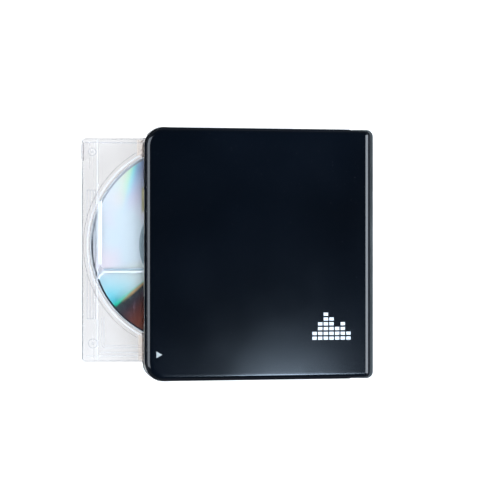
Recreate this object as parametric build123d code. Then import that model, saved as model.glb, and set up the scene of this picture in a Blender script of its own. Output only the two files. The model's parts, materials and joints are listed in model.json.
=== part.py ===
from build123d import *
import os

# Portable minidisc player with its lid popped open and a clear cartridge pushed part way in.
# Millimetres.  +X runs from the disc mouth to the hinge, +Y along the hinge, +Z up.
# Origin: centre of the case's flat underside.  Pieces are drawn with the lid closed, and
# the lid's own pieces are then turned about the hinge to the popped-open rest pose.

# ---- driving dimensions: body ----
BODY_X = 76.4            # mouth edge of the case to the back of the hinge frame
SIDE_MARGIN = 5.0        # body's side beyond a centred cartridge, each side
BODY_Z = 17.0            # thickness with the lid closed
FRONT_CORNER = 6.3       # plan radius of the two mouth-side corners
BACK_CORNER = 2.2        # plan radius of the two hinge-side corners
CASE_WALL = 1.2
CASE_FLOOR = 1.0
CASE_TOP = 9.2           # parting height of the case's side walls
BOTTOM_ROUND = 1.0       # rounding of the underside's edge
SILL_DROP = 0.4          # the mouth sill lies this much under the side walls

# ---- lid ----
OPEN_ANGLE = 10.0        # degrees the lid springs open
LID_WALL = 1.1
LID_ROUND = 1.9          # rounding of the lid's top edge
PARTING_GAP = 0.3        # closed gap between lid skirt and case wall
LEAF_LENGTH = 28.0       # leaf springs over the disc holder
LEAF_WIDTH = 5.0
LEAF_SHEET = 0.12
LINER_SHEET = 0.5
LID_SCREW = 0.9          # radius of the screws in the lid's skirt
TRIM_HEIGHT = 0.8        # silver strip over the mouth
TRIM_REACH = 0.4         # how far the strip stands out of the lid's front
TRIM_LENGTH = 7.5        # how far the strip wraps back along each side

# ---- hinge ----
HINGE_INSET = 3.6        # hinge axis from the back face
HINGE_HEIGHT = 11.0
FRAME_WALL = 0.85        # hinge frame's back wall
FRAME_RISE = 4.0         # the frame stands this much over the case wall
EAR_LENGTH = 6.8
EAR_THICK = 1.25
EAR_SHOW = 0.6           # the lid is this much narrower beside each ear
PIN_RADIUS = 0.8
PIN_LENGTH = 2.6
LUG_RADIUS = 1.8
LUG_WIDTH = 1.5
LID_BACK_GAP = 0.85      # closed gap between the lid's back end and the frame
MOVE_GAP = 0.3           # clearance between pieces that pass each other
RUN_GAP = 0.05           # radial clearance of a running fit

# ---- cartridge, to the format's own sizes ----
CART_X = 68.0
CART_Y = 72.0
CART_Z = 5.0
CART_CORNER = 1.2
CART_SHIFT_Y = 1.34      # the mouth lies off the body's middle by this
CART_OVERHANG = 19.9     # how far the cartridge stands out of the lid at rest
CART_FLOAT = 0.15        # cartridge to holder, above and below
SHELL_SKIN = 0.9
SHELL_RIM = 1.4
CHAMBER_WALL = 0.9
CHAMBER_GAP = 1.0        # disc edge to chamber wall
LABEL_DEEP = 0.25
LABEL_START = 6.2        # label recess from the cartridge's outer end
LABEL_RIB_Y = -6.5       # rib between the two label fields, from the cartridge's middle
LABEL_RIB = 0.9
LABEL_EDGE = 4.5         # field edge to the cartridge's sides
DISC_RADIUS = 32.0
DISC_THICK = 1.2
DISC_BORE = 5.5
DISC_FROM_END = 34.4     # disc centre from the cartridge's outer end
DISC_SHIFT_Y = 1.6       # disc centre off the cartridge's middle
HUB_RADIUS = 8.2
HUB_THICK = 0.6
HUB_HOLE = 2.0
HUB_WINDOW = 9.0         # hole in the lower shell around the hub
HEAD_WINDOW = 18.0       # width of the window that the shutter covers
SHUTTER_SHEET = 0.25
SHUTTER_WIDTH = 22.0
SHUTTER_TRAVEL = 19.0
SHUTTER_SEAT = 0.4       # depth of the shutter's recess
TAB_LENGTH = 5.2         # record tab
TAB_TRAVEL = 3.0
TAB_DEPTH = 2.4
TAB_FROM_SIDE = 1.6
GROOVE_WIDTH = 0.5       # grip grooves on the cartridge's outer end
GROOVE_COUNT = 4

# ---- deck and drive ----
DECK_SHEET = 0.8
DECK_TOP = 8.4
DECK_GAP = 0.25
BOSS_RADIUS = 1.7
SCREW_RADIUS = 0.7
SCREW_HEAD = 1.35
SCREW_HEAD_THICK = 0.4
CASE_SCREW = 1.3         # head radius of the underside's screws
CASE_SCREW_DEEP = 0.15   # their counterbore under the surface
CASE_SCREW_INSET = 6.5
MOTOR_RADIUS = 9.0
MOTOR_HEIGHT = 2.6
SHAFT_RADIUS = 0.75
TABLE_RADIUS = 5.2
NOSE_RADIUS = 1.8
SLED_X = 18.0
SLED_Y = 11.0
SLED_Z = 3.8
SLED_FLOOR = 3.2         # underside of the pickup sled
SLED_TRAVEL = 15.6
LENS_RADIUS = 1.9
ROD_RADIUS = 0.75
ROD_HEIGHT = 4.7
ROD_X = 12.2             # guide rod and lead screw either side of the spindle
SCREW_THREAD = 0.25      # depth of the lead screw's thread
SCREW_PITCH = 1.5
SCREW_CORE = 1.0
SLED_MOTOR_RADIUS = 2.5
SLED_MOTOR_LENGTH = 10.0

# ---- power, board and controls ----
CONTACT_ROOM = 2.2       # length of the cell's contact springs
CONTACT_PITCH = 9.0
CONTACT_WIDTH = 2.6
CONTACT_SHEET = 0.3
CELL_X = 17.0
CELL_Y = 67.0
CELL_Z = 6.0
CELL_GAP = 0.2
RIB = 1.0
DOOR_THICK = 1.4
DOOR_PIN = 0.35
BOARD_THICK = 0.8
BOARD_FLOOR = 2.0
STAND_RADIUS = 1.0
SIGNAL_CHIP = (9.0, 9.0, 1.1)
MEMORY_CHIP = (8.0, 12.0, 1.0)
DRIVER_CHIP = (7.0, 7.0, 1.2)
POWER_CHIP = (6.0, 5.0, 1.2)
SERVO_CHIP = (8.0, 8.0, 1.0)
COIL = (4.0, 3.0, 1.6)
JACK_RADIUS = 1.75
JACK_X = 7.0
JACK_Y = 12.5
JACK_Z = 4.6
JACK_AT = -25.5
KEY_WIDTH = 5.4
KEY_HEIGHT = 2.4
KEY_PITCH = 7.0
KEY_FIRST = -14.0
KEY_COUNT = 5
KEY_LEVEL = 5.0          # height of the row of keys
KEY_PROUD = 0.6
KEY_TRAVEL = 0.4
KEY_SLOT_GAP = 0.12
KNOB_LENGTH = 5.0
KNOB_WIDTH = 2.0
KNOB_PROUD = 0.7
KNOB_NECK = 1.0
OPEN_AT = -28.2          # open slider's middle, at rest
OPEN_TRAVEL = 2.6
HOLD_AT = 22.0           # hold slider's middle, at rest
HOLD_TRAVEL = 2.5
STRIKE_WIDTH = 1.2
STRIKE_TOOTH = 0.9
LATCH_PLATE = 0.7

# ---- places worked out from the sizes ----
BODY_Y = CART_Y + 2 * SIDE_MARGIN
FRONT = -BODY_X / 2
BACK = BODY_X / 2
SIDE = BODY_Y / 2
HINGE_X = BACK - HINGE_INSET
FRAME_IN = BACK - FRAME_WALL
FRAME_TOP = CASE_TOP + FRAME_RISE
LID_BACK = FRAME_IN - LID_BACK_GAP
LID_BOTTOM = CASE_TOP + PARTING_GAP
LID_CEILING = BODY_Z - LID_WALL
LINER_BOTTOM = LID_CEILING - LINER_SHEET
HOLDER_SHEET = 0.4
HOLDER_TOP = LINER_BOTTOM - 0.3
CART_TOP = HOLDER_TOP - HOLDER_SHEET - CART_FLOAT
CART_BOTTOM = CART_TOP - CART_Z
CART_MID = CART_BOTTOM + CART_Z / 2
SPINDLE_X = 0.0
SPINDLE_Y = CART_SHIFT_Y + DISC_SHIFT_Y
CART_IN = SPINDLE_X - DISC_FROM_END            # outer end of the seated cartridge
CART_OUT = FRONT - CART_OVERHANG               # outer end at rest
MOUTH_HALF = CART_Y / 2 + 0.8
MOUTH_TOP = CART_TOP + CART_FLOAT
DECK_BOTTOM = DECK_TOP - DECK_SHEET
INNER_SIDE = SIDE - CASE_WALL
CELL_X0 = FRAME_IN - 0.6 - RIB - CELL_GAP - CELL_X
CELL_X1 = CELL_X0 + CELL_X
CELL_Y1 = SIDE - DOOR_THICK - MOVE_GAP - 0.1
CELL_Y0 = CELL_Y1 - CELL_Y
DOOR_X0 = CELL_X0 - CELL_GAP
DOOR_X1 = CELL_X1 + CELL_GAP
DOOR_AXIS_Y = SIDE - DOOR_THICK / 2
DOOR_AXIS_Z = CASE_FLOOR + DOOR_THICK / 2
DOOR_TOP = DECK_BOTTOM


# ---- shape helpers ----
def block(x0, x1, y0, y1, z0, z1):
    """Box between two corners."""
    return Pos((x0 + x1) / 2, (y0 + y1) / 2, (z0 + z1) / 2) * Box(x1 - x0, y1 - y0, z1 - z0)


def disc(radius, x, y, z0, z1):
    """Upright cylinder."""
    return Pos(x, y, (z0 + z1) / 2) * Cylinder(radius, z1 - z0)


def bar_y(radius, x, y0, y1, z):
    """Cylinder along Y."""
    return Pos(x, (y0 + y1) / 2, z) * Rot(90, 0, 0) * Cylinder(radius, y1 - y0)


def bar_x(radius, x0, x1, y, z):
    """Cylinder along X."""
    return Pos((x0 + x1) / 2, y, z) * Rot(0, 90, 0) * Cylinder(radius, x1 - x0)


def plate(x0, x1, half_y, front_corner, back_corner, z0, z1):
    """Body outline with its own front and back corner radii, as a slab."""
    plan = Pos((x0 + x1) / 2, 0) * Rectangle(x1 - x0, 2 * half_y)
    plan = fillet(plan.vertices().sort_by(Axis.X)[:2], front_corner)
    plan = fillet(plan.vertices().sort_by(Axis.X)[-2:], back_corner)
    return Pos(0, 0, z0) * extrude(plan, z1 - z0)


def rounded_block(x0, x1, y0, y1, z0, z1, corner):
    """Box with rounded upright edges."""
    plan = Pos((x0 + x1) / 2, (y0 + y1) / 2) * RectangleRounded(x1 - x0, y1 - y0, corner)
    return Pos(0, 0, z0) * extrude(plan, z1 - z0)


def span(sign, near, far):
    """Pair of Y values on one side of the middle, low one first."""
    return sorted((sign * near, sign * far))


def spots(points, make):
    """The same piece at each point, as one group of solids."""
    group = Part()
    for point in points:
        group += make(*point)
    return group


def open_lid(shape):
    """Turn a piece of the lid from closed to its rest pose."""
    hinge = Pos(HINGE_X, 0, HINGE_HEIGHT)
    return hinge * Rot(0, OPEN_ANGLE, 0) * hinge.inverse() * shape


def load_cartridge(shape):
    """Carry a piece of the seated cartridge out to its rest place, then turn it with the lid."""
    return open_lid(Pos(CART_OUT - CART_IN, 0, 0) * shape)


# ---- places that several pieces share ----
LID_SCREW_Z = (LID_BOTTOM + LID_CEILING) / 2
LID_SCREWS = [(x, *sorted((sign * (SIDE - LID_WALL), sign * SIDE)))
              for x in (FRONT + 0.25 * BODY_X, FRONT + 0.75 * BODY_X) for sign in (-1, 1)]
LUG_OUT = SIDE - EAR_THICK - MOVE_GAP
LUG_IN = LUG_OUT - LUG_WIDTH
KEY_SPOTS = [(KEY_FIRST + KEY_PITCH * n,) for n in range(KEY_COUNT)]
DECK_X0 = FRONT + CASE_WALL + DECK_GAP
DECK_X1 = FRAME_IN - DECK_GAP
DECK_SIDE = INNER_SIDE - DECK_GAP
BOSS_INSET = BOSS_RADIUS + 1.6
BOARD_X1 = -ROD_X - ROD_RADIUS - 2.2
SCREW_SPOTS = [
    (FRONT + CASE_WALL + BOSS_INSET + 1.6, INNER_SIDE - BOSS_INSET),
    (FRONT + CASE_WALL + BOSS_INSET, -SPINDLE_Y - MOTOR_RADIUS),
    (CELL_X0 - RIB - BOSS_INSET, INNER_SIDE - BOSS_INSET),
    (CELL_X0 - CELL_GAP - RIB - BOSS_RADIUS - 1.0, -SPINDLE_Y + MOTOR_RADIUS + SLED_MOTOR_LENGTH),
]
CASE_SCREWS = [(x, y) for x in (FRONT + CASE_SCREW_INSET, BACK - CASE_SCREW_INSET)
               for y in (CASE_SCREW_INSET - SIDE, SIDE - CASE_SCREW_INSET)]
SLED_IN_Y = SPINDLE_Y - MOTOR_RADIUS - 0.7 - SLED_Y / 2
RAIL_Y0 = SLED_IN_Y - SLED_TRAVEL - SLED_Y / 2 - 1.6
RAIL_Y1 = SLED_IN_Y + SLED_Y / 2 + 1.0
RAIL_SEAT = 2.0
WINDOW_X = 6.0
STRIKE_X = OPEN_AT + KNOB_LENGTH / 2 + 1.2 + 0.45 + STRIKE_TOOTH
STRIKE_Y = SIDE - LID_WALL - LINER_SHEET
LATCH_LEVEL = CASE_TOP - 2.0
NOTCH_SIDE = INNER_SIDE - STRIKE_WIDTH - LINER_SHEET - 2 * MOVE_GAP


# ---- case ----
def make_lower_case():
    """Open tub with bosses, the battery's walls and every opening for keys, knobs and jack."""
    tub = plate(FRONT, BACK, SIDE, FRONT_CORNER, BACK_CORNER, 0, CASE_TOP)
    tub = fillet(tub.faces().sort_by(Axis.Z)[0].edges(), BOTTOM_ROUND)
    tub -= plate(FRONT + CASE_WALL, FRAME_IN, INNER_SIDE, FRONT_CORNER - CASE_WALL,
                 BACK_CORNER - FRAME_WALL, CASE_FLOOR, CASE_TOP + 1)
    tub -= block(FRONT - 1, FRONT + FRONT_CORNER, CART_SHIFT_Y - MOUTH_HALF, CART_SHIFT_Y + MOUTH_HALF,
                 CASE_TOP - SILL_DROP, CASE_TOP + 1)
    for x, y in SCREW_SPOTS:
        tub += disc(BOSS_RADIUS, x, y, CASE_FLOOR, DECK_BOTTOM)
        tub -= disc(SCREW_RADIUS, x, y, CASE_FLOOR + 1, DECK_BOTTOM + 1)
    tub += make_battery_walls()
    tub += make_rail_seats()
    tub -= block(DOOR_X0, DOOR_X1, CELL_Y1 - 0.1, SIDE + 1, CASE_FLOOR - 0.15, DOOR_TOP + MOVE_GAP)
    tub -= bar_x(DOOR_PIN, DOOR_X0 - RIB * 0.8, DOOR_X1 + RIB * 0.8, DOOR_AXIS_Y, DOOR_AXIS_Z)
    for (x,) in KEY_SPOTS:
        tub -= block(x - KEY_WIDTH / 2 - KEY_SLOT_GAP, x + KEY_WIDTH / 2 + KEY_SLOT_GAP, -SIDE - 1, -INNER_SIDE + 0.1,
                     KEY_LEVEL - KEY_HEIGHT / 2 - KEY_SLOT_GAP, KEY_LEVEL + KEY_HEIGHT / 2 + KEY_SLOT_GAP)
    for middle, low, high in ((OPEN_AT, -OPEN_TRAVEL, 0), (HOLD_AT, 0, HOLD_TRAVEL)):
        tub -= block(middle + low - KNOB_LENGTH / 2 + KNOB_NECK - MOVE_GAP, middle + high + KNOB_LENGTH / 2
                     - KNOB_NECK + MOVE_GAP, -SIDE - 1, -INNER_SIDE + 0.1,
                     KEY_LEVEL - KNOB_NECK / 2 - KEY_SLOT_GAP, KEY_LEVEL + KNOB_NECK / 2 + KEY_SLOT_GAP)
    for x, y in CASE_SCREWS:
        tub -= disc(CASE_SCREW, x, y, -1, CASE_SCREW_DEEP + SCREW_HEAD_THICK)
        tub -= disc(SCREW_RADIUS, x, y, 0, CASE_FLOOR)
    tub -= bar_y(JACK_Z / 2, JACK_AT, INNER_SIDE - 0.1, SIDE + 1, BOARD_FLOOR + BOARD_THICK + JACK_Z / 2)
    return tub


def make_battery_walls():
    """Two ribs along the cell and one across its inner end."""
    y0 = CELL_Y0 - CONTACT_ROOM
    walls = block(DOOR_X0 - RIB, DOOR_X0, y0, INNER_SIDE, CASE_FLOOR, DECK_BOTTOM)
    walls += block(DOOR_X1, DOOR_X1 + RIB, y0, INNER_SIDE, CASE_FLOOR, DECK_BOTTOM)
    walls += block(DOOR_X0 - RIB, DOOR_X1 + RIB, y0 - RIB, y0, CASE_FLOOR, DECK_BOTTOM)
    return walls


def make_rail_seats():
    """Blocks on the floor that hold the ends of the guide rod and the lead screw."""
    top = ROD_HEIGHT + ROD_RADIUS + 0.8
    half = ROD_RADIUS + 0.9
    seats = block(-ROD_X - half, -ROD_X + half, RAIL_Y0, RAIL_Y0 + RAIL_SEAT, CASE_FLOOR, top)
    seats += block(-ROD_X - half, -ROD_X + half, RAIL_Y1, RAIL_Y1 + RAIL_SEAT, CASE_FLOOR, top)
    seats -= bar_y(ROD_RADIUS, -ROD_X, RAIL_Y0 + 0.6, RAIL_Y1 + RAIL_SEAT - 0.6, ROD_HEIGHT)
    screw_seat = block(ROD_X - half, ROD_X + half, RAIL_Y0, RAIL_Y0 + RAIL_SEAT, CASE_FLOOR, top)
    screw_seat -= bar_y(SCREW_CORE + RUN_GAP, ROD_X, RAIL_Y0 - 1, RAIL_Y0 + RAIL_SEAT + 1, ROD_HEIGHT)
    return seats + screw_seat


def make_hinge_frame():
    """Back wall with an ear at each end, standing on the case wall."""
    frame = plate(FRONT, BACK, SIDE, FRONT_CORNER, BACK_CORNER, CASE_TOP, FRAME_TOP)
    frame -= plate(FRONT + CASE_WALL, FRAME_IN, SIDE - EAR_THICK, FRONT_CORNER - CASE_WALL,
                   BACK_CORNER - FRAME_WALL, CASE_TOP - 1, FRAME_TOP + 1)
    frame -= block(FRONT - 1, BACK - EAR_LENGTH, -SIDE - 1, SIDE + 1, CASE_TOP - 1, FRAME_TOP + 1)
    return frame - bar_y(PIN_RADIUS, HINGE_X, -SIDE + 0.3, SIDE - 0.3, HINGE_HEIGHT)


def make_hinge_pins():
    """Pin pressed into each ear."""
    outer = SIDE - 0.3
    return spots([(-outer, -outer + PIN_LENGTH), (outer - PIN_LENGTH, outer)],
                 lambda y0, y1: bar_y(PIN_RADIUS, HINGE_X, y0, y1, HINGE_HEIGHT))


def make_deck():
    """Sheet that closes the case under the cartridge, with the turntable and pickup windows."""
    deck = plate(DECK_X0, DECK_X1, DECK_SIDE, FRONT_CORNER - CASE_WALL - DECK_GAP,
                 BACK_CORNER - FRAME_WALL - DECK_GAP, DECK_BOTTOM, DECK_TOP)
    low, high = DECK_BOTTOM - 1, DECK_TOP + 1
    deck -= disc(TABLE_RADIUS + MOVE_GAP, SPINDLE_X, SPINDLE_Y, low, high)
    deck -= block(SPINDLE_X - WINDOW_X, SPINDLE_X + WINDOW_X, SLED_IN_Y - SLED_TRAVEL - LENS_RADIUS - 1.2,
                  SLED_IN_Y + LENS_RADIUS + 1.2, low, high)
    deck -= block(OPEN_AT - OPEN_TRAVEL - KNOB_LENGTH / 2 - 1.0, STRIKE_X + STRIKE_WIDTH + 0.8,
                  -SIDE, -NOTCH_SIDE, low, high)
    for x, y in SCREW_SPOTS:
        deck -= disc(SCREW_RADIUS, x, y, low, high)
    return deck


def make_deck_screw(x, y):
    """Flat-headed screw through the deck into a boss."""
    return disc(SCREW_RADIUS, x, y, CASE_FLOOR + 1, DECK_TOP) + disc(
        SCREW_HEAD, x, y, DECK_TOP, DECK_TOP + SCREW_HEAD_THICK)


def make_case_screw(x, y):
    """Crosshead screw in a counterbore of the underside."""
    head = disc(CASE_SCREW, x, y, CASE_SCREW_DEEP, CASE_SCREW_DEEP + SCREW_HEAD_THICK)
    for length, width in ((1.5, 0.3), (0.3, 1.5)):
        head -= block(x - length / 2, x + length / 2, y - width / 2, y + width / 2, 0, CASE_SCREW_DEEP + 0.25)
    return head + disc(SCREW_RADIUS, x, y, CASE_SCREW_DEEP + SCREW_HEAD_THICK, CASE_FLOOR)


# ---- drive ----
def make_spindle_motor():
    """Flat motor can under the deck with the shaft's bearing bore."""
    can = disc(MOTOR_RADIUS, SPINDLE_X, SPINDLE_Y, DECK_BOTTOM - MOTOR_HEIGHT, DECK_BOTTOM)
    return can - disc(SHAFT_RADIUS + RUN_GAP, SPINDLE_X, SPINDLE_Y, DECK_BOTTOM - MOTOR_HEIGHT + 0.4, DECK_BOTTOM + 1)


def make_turntable():
    """Table, centring nose and shaft in one piece, kept under the closed cartridge."""
    top = CART_BOTTOM - MOVE_GAP
    table = disc(TABLE_RADIUS, SPINDLE_X, SPINDLE_Y, DECK_BOTTOM + 0.2, top - 0.25)
    table -= disc(TABLE_RADIUS - 0.9, SPINDLE_X, SPINDLE_Y, top - 0.45, top)
    table += disc(NOSE_RADIUS, SPINDLE_X, SPINDLE_Y, DECK_BOTTOM + 0.2, top)
    return table + disc(SHAFT_RADIUS, SPINDLE_X, SPINDLE_Y, DECK_BOTTOM - MOTOR_HEIGHT + 0.7, DECK_BOTTOM + 0.3)


def make_guide_rod():
    """Polished rod beside the sled."""
    return bar_y(ROD_RADIUS, -ROD_X, RAIL_Y0 + 0.6, RAIL_Y1 + RAIL_SEAT - 0.6, ROD_HEIGHT)


def make_lead_screw():
    """Revolved thread: a sawtooth row between two plain journals."""
    start, end = RAIL_Y0 + 0.4, RAIL_Y1 + 0.2
    threaded = RAIL_Y0 + RAIL_SEAT + 0.5
    count = int((end - threaded) / SCREW_PITCH)
    points = [(0, start), (SCREW_CORE, start), (SCREW_CORE, threaded)]
    for n in range(count):
        foot = threaded + n * SCREW_PITCH
        points += [(SCREW_CORE + SCREW_THREAD, foot + SCREW_PITCH * 0.4), (SCREW_CORE, foot + SCREW_PITCH * 0.8),
                   (SCREW_CORE, foot + SCREW_PITCH)]
    points += [(SCREW_CORE, end), (0, end)]
    profile = make_face(Polyline(*points, close=True))
    return Pos(ROD_X, 0, ROD_HEIGHT) * revolve(profile, Axis.Y)


def make_sled_motor():
    """Small motor can on the lead screw's axis, resting on the floor."""
    y0 = RAIL_Y1 + 0.2
    can = bar_y(SLED_MOTOR_RADIUS, ROD_X, y0 + MOVE_GAP, y0 + MOVE_GAP + SLED_MOTOR_LENGTH, ROD_HEIGHT)
    foot = block(ROD_X - 1.6, ROD_X + 1.6, y0 + 2, y0 + SLED_MOTOR_LENGTH - 2, CASE_FLOOR, ROD_HEIGHT)
    return can + foot


def make_pickup_sled():
    """Pickup body with a bushed arm round the guide rod and a fork over the lead screw."""
    y0, y1 = SLED_IN_Y - SLED_Y / 2, SLED_IN_Y + SLED_Y / 2
    top = SLED_FLOOR + SLED_Z
    body = rounded_block(SPINDLE_X - SLED_X / 2, SPINDLE_X + SLED_X / 2, y0, y1, SLED_FLOOR, top, 1.0)
    arm_y0, arm_y1 = SLED_IN_Y - SLED_Y * 0.36, SLED_IN_Y + SLED_Y * 0.36
    body += block(-ROD_X - ROD_RADIUS - 0.8, SPINDLE_X - SLED_X / 2 + 1, arm_y0, arm_y1, SLED_FLOOR, SLED_FLOOR + 3.0)
    body -= bar_y(ROD_RADIUS + RUN_GAP, -ROD_X, y0 - 1, y1 + 1, ROD_HEIGHT)
    reach = ROD_X - SCREW_CORE - SCREW_THREAD - MOVE_GAP
    body += block(SPINDLE_X + SLED_X / 2 - 1, reach, SLED_IN_Y - 2, SLED_IN_Y + 2, SLED_FLOOR, SLED_FLOOR + 3.0)
    return body - disc(LENS_RADIUS + 0.4, SPINDLE_X, SLED_IN_Y, top - 1.2, top + 1)


def make_lens_holder():
    """Square lens carrier seated on the sled, with the lens bore."""
    top = SLED_FLOOR + SLED_Z
    holder = disc(LENS_RADIUS + 0.4, SPINDLE_X, SLED_IN_Y, top - 1.2, top)
    holder += rounded_block(SPINDLE_X - 3.6, SPINDLE_X + 3.6, SLED_IN_Y - 2.8, SLED_IN_Y + 2.8, top, DECK_TOP, 0.6)
    return holder - disc(LENS_RADIUS - 0.3, SPINDLE_X, SLED_IN_Y, top - 2, DECK_TOP + 1)


def make_lens():
    """Domed objective lens in the carrier's bore."""
    top = DECK_TOP
    lens = disc(LENS_RADIUS - 0.3, SPINDLE_X, SLED_IN_Y, top - 1.2, top - 0.2)
    dome = Pos(SPINDLE_X, SLED_IN_Y, top - 2.6) * Sphere(2.8)
    return lens + (dome & disc(LENS_RADIUS - 0.5, SPINDLE_X, SLED_IN_Y, top - 0.3, top + 0.4))


# ---- power and board ----
def make_battery():
    """Flat rechargeable cell with rounded long edges."""
    z0 = CASE_FLOOR
    cell = block(CELL_X0, CELL_X1, CELL_Y0, CELL_Y1, z0, z0 + CELL_Z)
    return fillet(cell.edges().filter_by(Axis.Y), 1.2)


def make_battery_contacts():
    """Folded spring plates at the cell's inner end, seated in the compartment's end wall."""
    mid = (CELL_X0 + CELL_X1) / 2
    y0 = CELL_Y0 - CONTACT_ROOM

    def leaf(x):
        half, sheet, middle = CONTACT_WIDTH / 2, CONTACT_SHEET, CASE_FLOOR + CELL_Z * 0.42
        blade = block(x - half, x + half, y0, y0 + sheet, CASE_FLOOR, CASE_FLOOR + CELL_Z * 0.75)
        blade += block(x - half, x + half, y0, CELL_Y0, middle - sheet / 2, middle + sheet / 2)
        return blade + block(x - half, x + half, CELL_Y0 - sheet, CELL_Y0, middle - half, middle + half)

    return spots([(mid - CONTACT_PITCH / 2,), (mid + CONTACT_PITCH / 2,)], leaf)


def make_battery_door():
    """Door over the cell's end, pivoting on its lower edge."""
    half = DOOR_THICK / 2
    x0, x1 = DOOR_X0 + CELL_GAP, DOOR_X1 - CELL_GAP
    door = block(x0, x1, SIDE - DOOR_THICK, SIDE, DOOR_AXIS_Z, DOOR_TOP)
    door += bar_x(half, x0, x1, DOOR_AXIS_Y, DOOR_AXIS_Z)
    return door - bar_x(DOOR_PIN + RUN_GAP, x0 - 1, x1 + 1, DOOR_AXIS_Y, DOOR_AXIS_Z)


def make_door_pin():
    """Pin of the battery door, its ends in the case wall."""
    return bar_x(DOOR_PIN, DOOR_X0 - RIB * 0.8, DOOR_X1 + RIB * 0.8, DOOR_AXIS_Y, DOOR_AXIS_Z)


def make_main_board():
    """Board over the mouth side of the case and across its far side, on the floor's stand-offs."""
    z0, z1 = BOARD_FLOOR, BOARD_FLOOR + BOARD_THICK
    x0, y1 = FRONT + CASE_WALL + 0.5, INNER_SIDE - 0.5
    x1 = BOARD_X1
    y_low = -INNER_SIDE + 4.5
    board = rounded_block(x0, x1, y_low, y1, z0, z1, 2.5)
    board += block(x1 - 3, CELL_X0 - CELL_GAP - RIB - 0.5, SPINDLE_Y + MOTOR_RADIUS + 2, y1, z0, z1)
    board &= plate(x0, BACK, INNER_SIDE - 0.5, FRONT_CORNER - CASE_WALL - 0.4, BACK_CORNER, z0, z1)
    for x, y in SCREW_SPOTS:
        board -= disc(BOSS_RADIUS + DECK_GAP, x, y, z0 - 1, z1 + 1)
    return board


def make_board_stands():
    """Pads between the case floor and the board."""
    near, far = FRONT + CASE_WALL + 0.5 + 2 * STAND_RADIUS, BOARD_X1 - 2 * STAND_RADIUS
    arm_y = SPINDLE_Y + MOTOR_RADIUS + 2 + 3 * STAND_RADIUS
    places = [(near, -0.6 * INNER_SIDE), (near, 0.5 * INNER_SIDE), (far, -0.2 * INNER_SIDE),
              (0.3 * far, arm_y), (-0.5 * far, arm_y), (far, 0.75 * INNER_SIDE)]
    return spots(places, lambda x, y: disc(STAND_RADIUS, x, y, CASE_FLOOR, BOARD_FLOOR))


def make_chips():
    """Signal, memory, driver and power packages on the board."""
    z0 = BOARD_FLOOR + BOARD_THICK
    column = (FRONT + CASE_WALL + BOARD_X1) / 2
    arm_y = SPINDLE_Y + MOTOR_RADIUS + 2 + SERVO_CHIP[1]
    places = [(column, -0.5 * INNER_SIDE, SIGNAL_CHIP), (column, -0.1 * INNER_SIDE, MEMORY_CHIP),
              (column, 0.3 * INNER_SIDE, DRIVER_CHIP), (0.7 * BOARD_X1, arm_y, POWER_CHIP),
              (-0.1 * BOARD_X1, arm_y, SERVO_CHIP), (column, -0.75 * INNER_SIDE, COIL)]

    def chip(x, y, size):
        width, depth, height = size
        return block(x - width / 2, x + width / 2, y - depth / 2, y + depth / 2, z0, z0 + height)

    return spots(places, chip)


def make_headphone_jack():
    """Jack body on the board with its round collar in the case wall."""
    z0 = BOARD_FLOOR + BOARD_THICK
    middle = z0 + JACK_Z / 2
    body = block(JACK_AT - JACK_X / 2, JACK_AT + JACK_X / 2, INNER_SIDE - JACK_Y, INNER_SIDE, z0, z0 + JACK_Z)
    body += bar_y(JACK_Z / 2, JACK_AT, INNER_SIDE - 1, SIDE, middle) & block(
        JACK_AT - JACK_X, JACK_AT + JACK_X, INNER_SIDE, SIDE, 0, BODY_Z)
    return body - bar_y(JACK_RADIUS, JACK_AT, INNER_SIDE - JACK_Y + 0.8, SIDE + 1, middle)


# ---- keys and sliders ----
def make_key(x):
    """Side key with an inner flange that keeps it in the case."""
    low, high = KEY_LEVEL - KEY_HEIGHT / 2, KEY_LEVEL + KEY_HEIGHT / 2
    flange_back = -INNER_SIDE + KEY_TRAVEL + 0.1
    cap = block(x - KEY_WIDTH / 2, x + KEY_WIDTH / 2, -SIDE - KEY_PROUD, flange_back, low, high)
    cap = fillet(cap.faces().sort_by(Axis.Y)[0].edges(), KEY_PROUD * 0.4)
    return cap + block(x - KEY_WIDTH / 2 - 0.5, x + KEY_WIDTH / 2 + 0.5, -INNER_SIDE + 0.05, flange_back,
                       low - 0.5, high + 0.5)


def make_key_board():
    """Small upright board that carries the key switches, standing on the floor."""
    y0 = -INNER_SIDE + 2 * KEY_TRAVEL + 1.4
    x0, x1 = KEY_SPOTS[0][0] - 3.4, KEY_SPOTS[-1][0] + 3.4
    return block(x0, x1, y0, y0 + 0.6, CASE_FLOOR, KEY_LEVEL + 2.0)


def make_key_switch(x):
    """Dome switch behind a key, its plunger just clear of the pressed key."""
    y0 = -INNER_SIDE + 2 * KEY_TRAVEL + 0.3
    back = -INNER_SIDE + 2 * KEY_TRAVEL + 1.4
    case = block(x - 1.6, x + 1.6, y0 + 0.5, back, KEY_LEVEL - 1.4, KEY_LEVEL + 1.4)
    return case + bar_y(0.8, x, y0, y0 + 0.5, KEY_LEVEL)


def make_knob(middle):
    """Slider knob: ribbed grip outside, neck through the slot, plate inside."""
    x0, x1 = middle - KNOB_LENGTH / 2, middle + KNOB_LENGTH / 2
    grip = block(x0, x1, -SIDE - KNOB_PROUD, -SIDE - 0.08, KEY_LEVEL - KNOB_WIDTH / 2, KEY_LEVEL + KNOB_WIDTH / 2)
    grip = fillet(grip.edges().filter_by(Axis.Y), 0.5)
    for n in range(3):
        x = middle + (n - 1) * 1.1
        grip -= block(x - 0.2, x + 0.2, -SIDE - KNOB_PROUD - 1, -SIDE - KNOB_PROUD + 0.25, 0, BODY_Z)
    neck = block(x0 + KNOB_NECK, x1 - KNOB_NECK, -SIDE - 0.2, -INNER_SIDE + 0.2,
                 KEY_LEVEL - KNOB_NECK / 2, KEY_LEVEL + KNOB_NECK / 2)
    return grip + neck


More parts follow.
